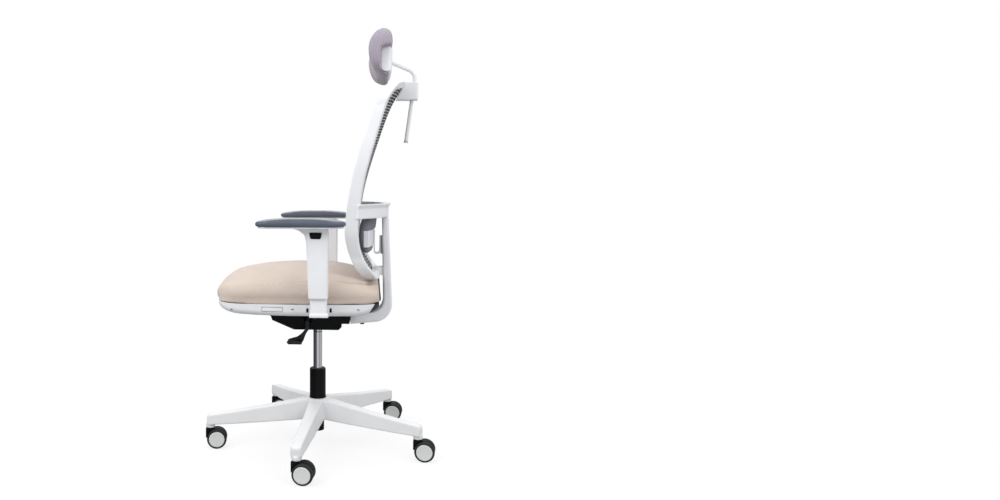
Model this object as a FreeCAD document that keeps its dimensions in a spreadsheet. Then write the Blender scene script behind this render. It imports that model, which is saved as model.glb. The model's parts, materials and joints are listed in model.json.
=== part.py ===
import FreeCAD, Part
import math
import os
import re
import Sketcher

# Ergonomic office chair. Millimetres, +Z up, the sitter faces -Y and +X is the sitter's left.
# The origin is the point on the floor under the column's axis.

V = FreeCAD.Vector
doc = FreeCAD.newDocument("office_chair")

# Driving sizes
SIZES = {
    # star base
    "leg_count": 5,
    "leg_first_angle": -6,
    "stem_circle": 335,
    "leg_overhang": 11,
    "leg_root_width": 54,
    "leg_middle": 140,
    "leg_middle_width": 47,
    "leg_middle_top": 128,
    "leg_middle_bottom": 79,
    "leg_tip_width": 35,
    "leg_tip_top": 104,
    "leg_tip_bottom": 74,
    "leg_edge_round": 6,
    "hub_radius": 37,
    "hub_top": 146,
    "hub_bottom": 84,
    "socket_radius": 14.5,
    "socket_bottom": 64,
    "socket_depth": 30,
    # casters
    "caster_1_turn": -8,
    "caster_2_turn": -8,
    "caster_3_turn": -8,
    "caster_4_turn": -8,
    "caster_5_turn": 8,
    "caster_trail": 20,
    "wheel_radius": 30,
    "wheel_width": 17,
    "wheel_round": 4,
    "disc_radius": 23.5,
    "disc_step": 0.8,
    "web_half": 7.5,
    "hood_gap": 2,
    "hood_wall": 4,
    "hood_front": 14,
    "hood_block_half": 12,
    "stem_radius": 5.5,
    "stem_reach": 22,
    "axle_radius": 4,
    "axle_end_wall": 3,
    # gas lift
    "tube_radius": 25,
    "tube_wall": 2.5,
    "tube_exposed": 91,
    "tube_foot_radius": 20,
    "tube_foot_bottom": 42,
    "tube_floor": 4,
    "bush_length": 60,
    "cylinder_radius": 14,
    "cylinder_wall": 2.5,
    "cylinder_overlap": 85,
    "cylinder_end": 8,
    "column_exposed": 136,
    "piston_rod_radius": 5,
    "piston_length": 10,
    "bearing_height": 8,
    "bearing_radius": 12,
    "clip_thickness": 2,
    "release_pin_radius": 4,
    "release_pin_proud": 6.5,
    # tilt mechanism
    "housing_half": 75,
    "housing_wall": 4,
    "housing_front": 139,
    "housing_toe": 67,
    "housing_rear": 77,
    "housing_front_rise": 44,
    "housing_rear_rise": 23,
    "boss_radius": 20,
    "boss_height": 17,
    "recline_behind": 60,
    "recline_rise": 14,
    "recline_pin_radius": 6,
    "tilt_ahead": 105,
    "tilt_rise": 30,
    "tilt_pin_radius": 5,
    "spring_wire": 3.2,
    "spring_turns": 8,
    "spring_pitch": 4.2,
    "carrier_rise": 49,
    "carrier_plate": 6,
    "carrier_half": 80,
    "carrier_rear": 101,
    "skirt_wall": 3.5,
    "rail_offset": 60,
    "rail_width": 12,
    "rail_height": 10,
    "runner_wall": 6,
    # height lever
    "lever_ahead": 25,
    "lever_width": 11,
    "lever_thickness": 5,
    "lever_pivot_out": 40,
    "lever_pin_radius": 2.5,
    "lever_drop": 60,
    "lever_out": 90,
    "lever_arm": 9,
    "lever_paddle_length": 59,
    "lever_paddle_width": 40,
    # seat
    "shell_rise": 70,
    "shell_height": 34,
    "shell_wall": 4,
    "shell_corner": 16,
    "seat_half": 250,
    "seat_front": 279,
    "seat_rear": 188,
    "cushion_gap": 1.5,
    "cushion_front_overhang": 23,
    "cushion_rear_overhang": 7,
    "cushion_crown": 90,
    "paddle_front": 139,
    "paddle_length": 58,
    "paddle_height": 12,
    "paddle_thickness": 7,
    "paddle_sunk": 1.5,
    "paddle_gap": 1,
    # arms
    "arm_offset": 285,
    "arm_behind": 22,
    "arm_stem_half": 11.5,
    "arm_stem_depth": 46,
    "arm_bar_rise": 6,
    "arm_bar_thickness": 10,
    "arm_bar_depth": 34,
    "arm_bar_length": 110,
    "arm_stem_top": 197,
    "sleeve_half": 19,
    "sleeve_front": 33,
    "sleeve_rear": 27,
    "sleeve_clear_rise": 58,
    "sleeve_height": 192,
    "sleeve_flare": 40,
    "button_height": 16,
    "button_width": 33,
    "button_depth": 5,
    "arm_plate": 4.7,
    "arm_pad_half": 44,
    "arm_pad_length": 246,
    "arm_pad_ahead": 149,
    "arm_pad_height": 22,
    "arm_pad_inset": 10,
    "arm_key_half": 9,
    "arm_key_length": 90,
    "arm_pad_travel": 25,
    # back
    "upright_half": 32,
    "upright_foot": 102,
    "upright_front": 203,
    "upright_rear": 232,
    "upright_lean": 6,
    "upright_heel_rise": 13,
    "upright_knee_rise": 12,
    "upright_foot_drop": 10,
    "upright_foot_top": 39,
    "upright_inner_round": 42,
    "upright_outer_round": 56,
    "upright_edge_round": 6,
    "tongue_half": 22,
    "tongue_length": 48,
    "tongue_height": 12,
    "bolt_radius": 4,
    "bolt_head_radius": 6.5,
    "bolt_head": 4,
    "bolt_spacing": 24,
    "yoke_rise": 341,
    "yoke_height": 41,
    "yoke_wall": 13,
    "yoke_lip": 8,
    "yoke_lip_height": 6,
    "yoke_radius": 320,
    "yoke_half_angle": 43.6,
    "yoke_rear": 217,
    "frame_rise": 159,
    "frame_height": 585,
    "frame_half": 224,
    "frame_rail": 21,
    "frame_sag": 18,
    "top_sag": 28,
    "mesh_thickness": 2,
    "mesh_inset": 6,
    "mesh_sag": 7,
    "mesh_grip": 4,
    "track_half": 16,
    "track_proud": 3,
    "track_depth": 6,
    "track_length": 130,
    "track_rise": 200,
    "bracket_half": 24,
    "bracket_reach": 27,
    "bracket_lift": 3,
    "bracket_height": 24,
    # lumbar support
    "slider_half": 11,
    "slider_height": 56,
    "slider_depth": 6.7,
    "slider_tongue": 5,
    "slider_over_track": 26,
    "lumbar_spring_half": 22,
    "lumbar_spring_wall": 3.5,
    "lumbar_spring_bend": 6.75,
    "lumbar_half": 135,
    "lumbar_height": 107,
    "lumbar_over_slider": 11,
    "lumbar_shell_height": 48,
    "lumbar_shell_over_slider": 30,
    "lumbar_shell_overlap": 8,
    "lumbar_shell_sag": 16,
    "lumbar_shell_wall": 4,
    "lumbar_shell_wrap": 10,
    # headrest
    "clamp_half": 20,
    "clamp_height": 52,
    "clamp_wall": 9,
    "clamp_drop": 54,
    "clamp_foot_depth": 66,
    "clamp_neck_depth": 48,
    "clamp_head_depth": 58,
    "clamp_head_height": 14,
    "clamp_round": 6,
    "head_rod_radius": 5.5,
    "head_rod_lean": 7.5,
    "head_rod_behind": 287.5,
    "head_rod_over_clamp": 26,
    "head_rod_tail": 148,
    "head_rod_bend": 28,
    "head_arm_droop": 23.5,
    "head_pivot_behind": 212,
    "head_pivot_over_clamp": 116.5,
    "head_pin_radius": 3.5,
    "head_pin_engage": 5,
    "head_barrel_radius": 7.5,
    "head_barrel_half": 10,
    "head_slot_below": 16,
    "head_slot_above": 10,
    "rod_cap_length": 6,
    "head_pad_half": 135,
    "head_pad_height": 139,
    "head_pad_drop": 59.5,
    "head_pad_hollow": 8,
    "head_shell_half": 118,
    "head_shell_behind": 10,
    "head_shell_depth": 33,
    "head_shell_height": 70,
    "head_shell_drop": 45.5,
    "head_shell_rear_round": 12,
    "head_shell_front_round": 13,
    # fits
    "fixed_clear": 0.02,
    "running_clear": 0.05,
    "slide_clear": 0.3,
    "part_clear": 0.5,
}

# Levels and places that follow from the driving sizes
LEVELS = {
    "leg_tip": "stem_circle + leg_overhang",
    "tube_top": "hub_top + tube_exposed",
    "housing_bottom": "hub_top + tube_exposed + column_exposed",
    "cylinder_bottom": "tube_top - cylinder_overlap",
    "cylinder_top": "housing_bottom + boss_height + 2",
    "tube_floor_top": "tube_foot_bottom + tube_floor",
    "bearing_top": "tube_floor_top + bearing_height",
    "piston_bottom": "cylinder_bottom + cylinder_end + 2",
    "recline_level": "housing_bottom + recline_rise",
    "tilt_level": "housing_bottom + tilt_rise",
    "carrier_bottom": "housing_bottom + carrier_rise",
    "carrier_top": "carrier_bottom + carrier_plate",
    "lever_level": "cylinder_top + release_pin_proud + slide_clear",
    "shell_bottom": "housing_bottom + shell_rise",
    "shell_rim": "shell_bottom + shell_height",
    "cushion_bottom": "shell_rim + cushion_gap",
    "arm_bar_bottom": "shell_bottom + arm_bar_rise",
    "sleeve_bottom": "shell_bottom + sleeve_clear_rise",
    "sleeve_top": "sleeve_bottom + sleeve_height",
    "arm_plate_bottom": "sleeve_top + slide_clear",
    "arm_pad_bottom": "arm_plate_bottom + arm_plate + slide_clear",
    "yoke_bottom": "housing_bottom + yoke_rise",
    "frame_bottom": "housing_bottom + frame_rise",
    "frame_top": "frame_bottom + frame_height",
    "track_front": "upright_front - track_proud",
    "track_bottom": "housing_bottom + track_rise",
    "slider_bottom": "track_bottom + slider_over_track",
    "lumbar_bottom": "slider_bottom + lumbar_over_slider",
    "lumbar_shell_bottom": "slider_bottom + lumbar_shell_over_slider",
    "clamp_bottom": "frame_top - clamp_drop",
    "head_rod_level": "clamp_bottom + head_rod_over_clamp",
    "head_pivot_level": "clamp_bottom + head_pivot_over_clamp",
    "head_pad_bottom": "head_pivot_level - head_pad_drop",
    "head_shell_bottom": "head_pivot_level - head_shell_drop",
    "head_shell_rear": "head_pivot_behind + head_shell_behind",
    "head_shell_front": "head_shell_rear - head_shell_depth",
    "paddle_bottom": "shell_bottom + shell_corner - 2",
    "wheel_inner": "web_half + part_clear",
    "wheel_outer": "wheel_inner + wheel_width",
    "well_radius": "wheel_radius + 1",
    "hood_top": "socket_bottom - hood_gap",
}

sheet = doc.addObject("Spreadsheet::Sheet", "Size")
for row, (alias, number) in enumerate(SIZES.items(), start=1):
    sheet.set("A%d" % row, str(number))
    sheet.setAlias("A%d" % row, alias)
doc.recompute()

OWNER = {alias: "Size" for alias in SIZES}
OWNER.update({alias: "Level" for alias in LEVELS})


def bound(text):
    """The text of a size rule with each name led back to the object that holds it."""
    return re.sub(r"[a-z]\w*", lambda word: OWNER[word.group()] + "." + word.group(), text)


levels = doc.addObject("App::VarSet", "Level")
for alias in LEVELS:
    levels.addProperty("App::PropertyFloat", alias)
for alias, rule in LEVELS.items():
    levels.setExpression(alias, bound(rule))
doc.recompute()


def size(alias):
    """The number held by a driving size or by a level."""
    if alias in SIZES:
        return float(sheet.get(alias))
    return float(getattr(levels, alias))


# Building blocks

NODES = []


def node(thing, label):
    """Marks a document object as a finished sub-part under its own name."""
    thing.Label = label
    NODES.append(thing)
    return thing


def new_body(name):
    return doc.addObject("PartDesign::Body", name)


def origin_plane(body, role):
    return [plane for plane in body.Origin.OriginFeatures if plane.Role == role][0]


def new_sketch(body, role, offset=None):
    sketch = body.newObject("Sketcher::SketchObject", body.Name + "_outline")
    sketch.AttachmentSupport = [(origin_plane(body, role), "")]
    sketch.MapMode = "FlatFace"
    if offset:
        sketch.setExpression("AttachmentOffset.Base.z", bound(offset))
    return sketch


def place(sketch, geometry, point, rule_u, rule_v):
    """Ties one point of a sketch to its two size rules."""
    for kind, rule in (("DistanceX", rule_u), ("DistanceY", rule_v)):
        number = sketch.addConstraint(Sketcher.Constraint(kind, -1, 1, geometry, point, 1.0))
        sketch.setExpression("Constraints[%d]" % number, bound(rule))


def polygon(body, role, corners, offset=None):
    """A closed outline of straight edges whose corners are size rules."""
    sketch = new_sketch(body, role, offset)
    count = len(corners)
    turn = 2 * math.pi / count
    start = [V(90 * math.cos(turn * k), 90 * math.sin(turn * k), 0) for k in range(count)]
    for k in range(count):
        sketch.addGeometry(Part.LineSegment(start[k], start[(k + 1) % count]), False)
    for k in range(count):
        sketch.addConstraint(Sketcher.Constraint("Coincident", k, 2, (k + 1) % count, 1))
    for k, (rule_u, rule_v) in enumerate(corners):
        place(sketch, k, 1, rule_u, rule_v)
    return sketch


def disc(body, role, rule_u, rule_v, radius, offset=None):
    """A round outline."""
    sketch = new_sketch(body, role, offset)
    sketch.addGeometry(Part.Circle(V(1, 1, 0), V(0, 0, 1), 10), False)
    place(sketch, 0, 3, rule_u, rule_v)
    number = sketch.addConstraint(Sketcher.Constraint("Radius", 0, 10))
    sketch.setExpression("Constraints[%d]" % number, bound(radius))
    return sketch


def feature(body, kind, sketch, length, symmetric=True):
    """A pad or pocket of a sketch, to both sides of its plane unless told otherwise."""
    made = body.newObject("PartDesign::" + kind, body.Name + "_" + kind.lower())
    made.Profile = sketch
    made.Midplane = symmetric
    made.setExpression("Length", bound(length))
    return made


def pad(body, sketch, length, symmetric=True):
    return feature(body, "Pad", sketch, length, symmetric)


def pocket(body, sketch, length):
    """A cut to both sides of the sketch plane, which has to take material away."""
    doc.recompute()
    before = body.Shape.Volume
    made = feature(body, "Pocket", sketch, length)
    doc.recompute()
    if body.Shape.Volume > before - 1e-6:
        raise RuntimeError("nothing was cut in " + body.Name)
    return made


def revolve(body, sketch, axis="V_Axis", angle=None):
    """A turned solid, whole or, with an angle rule, an arc to both sides of the plane."""
    made = body.newObject("PartDesign::Revolution", body.Name + "_turned")
    made.Profile = sketch
    made.ReferenceAxis = (sketch, [axis])
    made.Angle = 360
    if angle:
        made.Midplane = True
        made.setExpression("Angle", bound(angle))
    return made


def edge_names(shape, wanted):
    """Names of the edges that a test on the edge picks."""
    return ["Edge%d" % (k + 1) for k, edge in enumerate(shape.Edges) if wanted(edge)]


def soften(body, wanted, radius):
    """Rounds the picked edges of a body."""
    doc.recompute()
    tip = body.Tip
    made = body.newObject("PartDesign::Fillet", body.Name + "_fillet")
    made.Base = (tip, edge_names(tip.Shape, wanted))
    made.setExpression("Radius", bound(radius))
    doc.recompute()
    return made


def along(axis):
    """A test for straight edges along one axis."""
    def test(edge):
        span = edge.BoundBox
        lengths = (span.XLength, span.YLength, span.ZLength)
        return lengths[axis] > 1e-6 and sum(lengths) - lengths[axis] < 1e-6
    return test


def box(name, low, high):
    """A block between two corners given as size rules."""
    made = doc.addObject("Part::Box", name)
    for side, rule_low, rule_high in zip(("Length", "Width", "Height"), low, high):
        made.setExpression(side, bound("(%s) - (%s)" % (rule_high, rule_low)))
    for axis, rule_low in zip("xyz", low):
        made.setExpression("Placement.Base." + axis, bound(rule_low))
    return made


UPWARD = FreeCAD.Rotation()
SIDEWAYS = FreeCAD.Rotation(V(0, 1, 0), 90)
LENGTHWAYS = FreeCAD.Rotation(V(1, 0, 0), -90)


def rod(name, base, radius, length, rotation=UPWARD):
    """A round bar from a base point, with size rules."""
    made = doc.addObject("Part::Cylinder", name)
    made.setExpression("Radius", bound(radius))
    made.setExpression("Height", bound(length))
    made.Placement = FreeCAD.Placement(V(), rotation)
    for axis, rule in zip("xyz", base):
        made.setExpression("Placement.Base." + axis, bound(rule))
    return made


def joined(name, pieces):
    made = doc.addObject("Part::MultiFuse", name)
    made.Shapes = pieces
    return made


def cut(name, whole, tool):
    made = doc.addObject("Part::Cut", name)
    made.Base = whole
    made.Tool = tool
    return made


def group(name, pieces):
    made = doc.addObject("Part::Compound", name)
    made.Links = pieces
    return made


def mirrored(source, label):
    """The same piece on the sitter's other side."""
    made = doc.addObject("Part::Mirroring", label)
    made.Source = source
    made.Normal = V(1, 0, 0)
    return node(made, label)


def formed(label, shape):
    """A sub-part whose form is worked out from the sizes by lofts and sweeps."""
    made = doc.addObject("Part::Feature", label)
    made.Shape = shape
    return node(made, label)


def line(a, b):
    return Part.LineSegment(V(*a), V(*b)).toShape()


def arc(a, middle, b):
    return Part.Arc(V(*a), V(*middle), V(*b)).toShape()


def blend(a, b, share):
    return a + (b - a) * share


# Star base
def make_base():
    base = new_body("star_base_body")
    revolve(base, polygon(base, "XZ_Plane", [
        ("0", "hub_bottom"), ("hub_radius", "hub_bottom"), ("hub_radius", "hub_top"), ("0", "hub_top"),
    ]))
    root = polygon(base, "YZ_Plane", [
        ("-leg_root_width / 2", "hub_bottom"), ("leg_root_width / 2", "hub_bottom"),
        ("leg_root_width / 2 - leg_edge_round", "hub_top"),
        ("leg_edge_round - leg_root_width / 2", "hub_top"),
    ], "hub_radius / 2")
    tip = polygon(base, "YZ_Plane", [
        ("-leg_tip_width / 2", "leg_tip_bottom"), ("leg_tip_width / 2", "leg_tip_bottom"),
        ("leg_tip_width / 2 - leg_edge_round / 2", "leg_tip_top"),
        ("leg_edge_round / 2 - leg_tip_width / 2", "leg_tip_top"),
    ], "leg_tip")
    middle = polygon(base, "YZ_Plane", [
        ("-leg_middle_width / 2", "leg_middle_bottom"), ("leg_middle_width / 2", "leg_middle_bottom"),
        ("leg_middle_width / 2 - leg_edge_round", "leg_middle_top"),
        ("leg_edge_round - leg_middle_width / 2", "leg_middle_top"),
    ], "leg_middle")
    leg = base.newObject("PartDesign::AdditiveLoft", "leg")
    leg.Profile = root
    leg.Sections = [middle, tip]
    doc.recompute()
    socket = pad(base, disc(base, "XY_Plane", "stem_circle", "0", "socket_radius", "socket_bottom"),
                 "leg_tip_bottom - socket_bottom + 2", False)
    doc.recompute()
    ring = base.newObject("PartDesign::PolarPattern", "legs")
    ring.Originals = [leg, socket]
    ring.Axis = (origin_plane(base, "Z_Axis"), [""])
    ring.Angle = 360
    ring.setExpression("Occurrences", bound("leg_count"))
    base.Tip = ring
    doc.recompute()
    pocket(base, disc(base, "XY_Plane", "0", "0", "tube_foot_radius + fixed_clear", "hub_bottom"),
           "3 * hub_top")
    doc.recompute()
    before = base.Shape.Volume
    bore = pocket(base, disc(base, "XY_Plane", "stem_circle", "0", "stem_radius + fixed_clear",
                             "socket_bottom"), "2 * socket_depth")
    bores = base.newObject("PartDesign::PolarPattern", "bores")
    bores.Originals = [bore]
    bores.Axis = (origin_plane(base, "Z_Axis"), [""])
    bores.Angle = 360
    bores.setExpression("Occurrences", bound("leg_count"))
    base.Tip = bores
    doc.recompute()
    if base.Shape.Volume >= before:
        raise RuntimeError("the sockets have no bores")
    base.Placement = FreeCAD.Placement(V(), FreeCAD.Rotation(V(0, 0, 1), size("leg_first_angle")))
    return node(base, "star_base")


def leg_angle(number):
    return math.radians(size("leg_first_angle") + number * 360 / size("leg_count"))


# Gas lift: stand tube, guide bush, bearing, piston rod, gas cylinder and its release pin
def make_gas_lift():
    tube = new_body("stand_tube_body")
    inner = "tube_radius - tube_wall"
    foot_inner = "tube_foot_radius - tube_wall"
    hole = "piston_rod_radius + running_clear"
    revolve(tube, polygon(tube, "XZ_Plane", [
        (hole, "tube_foot_bottom"), ("tube_foot_radius", "tube_foot_bottom"),
        ("tube_foot_radius", "hub_top"), ("tube_radius + 1", "hub_top"),
        ("tube_radius", "hub_top + 8"), ("tube_radius", "tube_top"),
        (inner, "tube_top"), (inner, "hub_top + 6"), (foot_inner, "hub_top + 2"),
        (foot_inner, "tube_floor_top"), (hole, "tube_floor_top"),
    ]))
    node(tube, "gas_stand_tube")

    bush = new_body("guide_bush_body")
    bore = "cylinder_radius + running_clear"
    revolve(bush, polygon(bush, "XZ_Plane", [
        (bore, "tube_top - bush_length"), (inner + " - fixed_clear", "tube_top - bush_length"),
        (inner + " - fixed_clear", "tube_top"), ("tube_radius - 1", "tube_top"),
        ("tube_radius - 2", "tube_top + 2"), (bore, "tube_top + 2"),
    ]))
    node(bush, "gas_guide_bush")

    bearing = new_body("thrust_bearing_body")
    revolve(bearing, polygon(bearing, "XZ_Plane", [
        (hole, "tube_floor_top"), ("bearing_radius", "tube_floor_top"),
        ("bearing_radius", "bearing_top"), (hole, "bearing_top"),
    ]))
    node(bearing, "thrust_bearing")

    piston = new_body("piston_rod_body")
    head = "cylinder_radius - cylinder_wall - running_clear"
    revolve(piston, polygon(piston, "XZ_Plane", [
        ("0", "tube_foot_bottom - 2 * clip_thickness"),
        ("piston_rod_radius", "tube_foot_bottom - 2 * clip_thickness"),
        ("piston_rod_radius", "bearing_top + slide_clear"),
        ("bearing_radius - 3", "bearing_top + slide_clear"), ("bearing_radius - 3", "bearing_top + 2"),
        ("piston_rod_radius", "bearing_top + 2"), ("piston_rod_radius", "piston_bottom"),
        (head, "piston_bottom"), (head, "piston_bottom + piston_length"),
        ("0", "piston_bottom + piston_length"),
    ]))
    node(piston, "piston_rod")

    clip = new_body("retaining_clip_body")
    grip = "piston_rod_radius + fixed_clear"
    clip_top = "tube_foot_bottom - slide_clear"
    revolve(clip, polygon(clip, "XZ_Plane", [
        (grip, clip_top + " - clip_thickness"), ("bearing_radius - 2", clip_top + " - clip_thickness"),
        ("bearing_radius - 2", clip_top), (grip, clip_top),
    ]))
    node(clip, "rod_retaining_clip")

    cylinder = new_body("gas_cylinder_body")
    bore = "cylinder_radius - cylinder_wall"
    pin_hole = "release_pin_radius + running_clear"
    revolve(cylinder, polygon(cylinder, "XZ_Plane", [
        (hole, "cylinder_bottom"), ("cylinder_radius", "cylinder_bottom"),
        ("cylinder_radius", "cylinder_top"), (pin_hole, "cylinder_top"),
        (pin_hole, "cylinder_top - cylinder_end"), (bore, "cylinder_top - cylinder_end"),
        (bore, "cylinder_bottom + cylinder_end"), (hole, "cylinder_bottom + cylinder_end"),
    ]))
    node(cylinder, "gas_cylinder")

    pin = rod("release_pin_rod", ("0", "0", "cylinder_top - cylinder_end - 2"), "release_pin_radius",
              "cylinder_end + 2 + release_pin_proud")
    node(pin, "gas_release_pin")


# Casters: twin wheels under a hood that turns on a stem in the leg's socket
def make_caster(number):
    name = "caster_%d" % (number + 1)
    angle = leg_angle(number)
    spot = V(size("stem_circle") * math.cos(angle), size("stem_circle") * math.sin(angle), 0)
    stand = FreeCAD.Placement(spot, FreeCAD.Rotation(V(0, 0, 1), size(name + "_turn")))

    hood = new_body(name + "_hood_body")
    pad(hood, disc(hood, "YZ_Plane", "caster_trail", "wheel_radius", "wheel_radius"), "2 * web_half")
    pad(hood, polygon(hood, "YZ_Plane", [
        ("-hood_front", "wheel_radius + 2"), ("caster_trail / 2", "wheel_radius + 2"),
        ("caster_trail / 2 + hood_wall", "hood_top"), ("-hood_front", "hood_top"),
    ]), "2 * hood_block_half")
    far_front = "-caster_trail - 2 * well_radius"
    far_rear = "caster_trail + 2 * well_radius"
    pocket(hood, polygon(hood, "YZ_Plane", [
        (far_front, "-wheel_radius"), (far_rear, "-wheel_radius"), (far_rear, "wheel_radius + 6"),
        ("caster_trail + 10", "wheel_radius - 10"), ("caster_trail - 10", "wheel_radius - 10"),
        (far_front, "wheel_radius + 4"),
    ]), "4 * wheel_outer")
    for side in ("", "-"):
        well = new_sketch(hood, "YZ_Plane", side + "(web_half + wheel_outer)")
        well.addGeometry(Part.Circle(V(1, 1, 0), V(0, 0, 1), 10), False)
        place(well, 0, 3, "caster_trail", "wheel_radius")
        radius = well.addConstraint(Sketcher.Constraint("Radius", 0, 10))
        well.setExpression("Constraints[%d]" % radius, bound("well_radius"))
        pocket(hood, well, "2 * wheel_outer")
    pocket(hood, disc(hood, "XY_Plane", "0", "0", "stem_radius + running_clear", "hood_top"),
           "2 * stem_reach")
    pocket(hood, disc(hood, "YZ_Plane", "caster_trail", "wheel_radius", "axle_radius + fixed_clear"),
           "4 * web_half")
    axle = rod(name + "_axle_rod", ("axle_end_wall - wheel_outer", "caster_trail", "wheel_radius"),
               "axle_radius", "2 * (wheel_outer - axle_end_wall)", SIDEWAYS)
    housing = group(name + "_hood_group", [hood, axle])
    housing.Placement = stand
    node(housing, name + "_hood")

    bore = "axle_radius + running_clear"
    blind = "wheel_outer - axle_end_wall + part_clear"
    for side, sign in (("left", 1), ("right", -1)):
        wheel = new_body("%s_%s_wheel_body" % (name, side))
        profile = [
            ("wheel_inner", bore), ("wheel_inner", "wheel_radius - wheel_round"),
            ("wheel_inner + wheel_round / 2", "wheel_radius"),
            ("wheel_outer - wheel_round", "wheel_radius"),
            ("wheel_outer - disc_step", "wheel_radius - wheel_round"),
            ("wheel_outer - disc_step", "disc_radius"), ("wheel_outer", "disc_radius - disc_step"),
            ("wheel_outer", "0"), (blind, "0"), (blind, bore),
        ]
        if sign < 0:
            profile = [("-(%s)" % across, out) for across, out in profile]
        revolve(wheel, polygon(wheel, "XZ_Plane", profile), "H_Axis")
        lift = FreeCAD.Placement(V(0, size("caster_trail"), size("wheel_radius")), UPWARD)
        wheel.Placement = stand.multiply(lift)
        node(wheel, "%s_wheel_%s" % (name, side))


def make_caster_stems():
    stems = []
    for number in range(int(size("leg_count"))):
        angle = leg_angle(number)
        stem = rod("caster_stem_%d" % (number + 1), ("0", "0", "hood_top - stem_reach + part_clear"),
                   "stem_radius", "stem_reach + hood_gap + socket_depth - 2 * part_clear")
        stem.setExpression("Placement.Base.x", bound("stem_circle") + " * %.9f" % math.cos(angle))
        stem.setExpression("Placement.Base.y", bound("stem_circle") + " * %.9f" % math.sin(angle))
        stems.append(stem)
    node(group("caster_stem_group", stems), "caster_stems")


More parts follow.
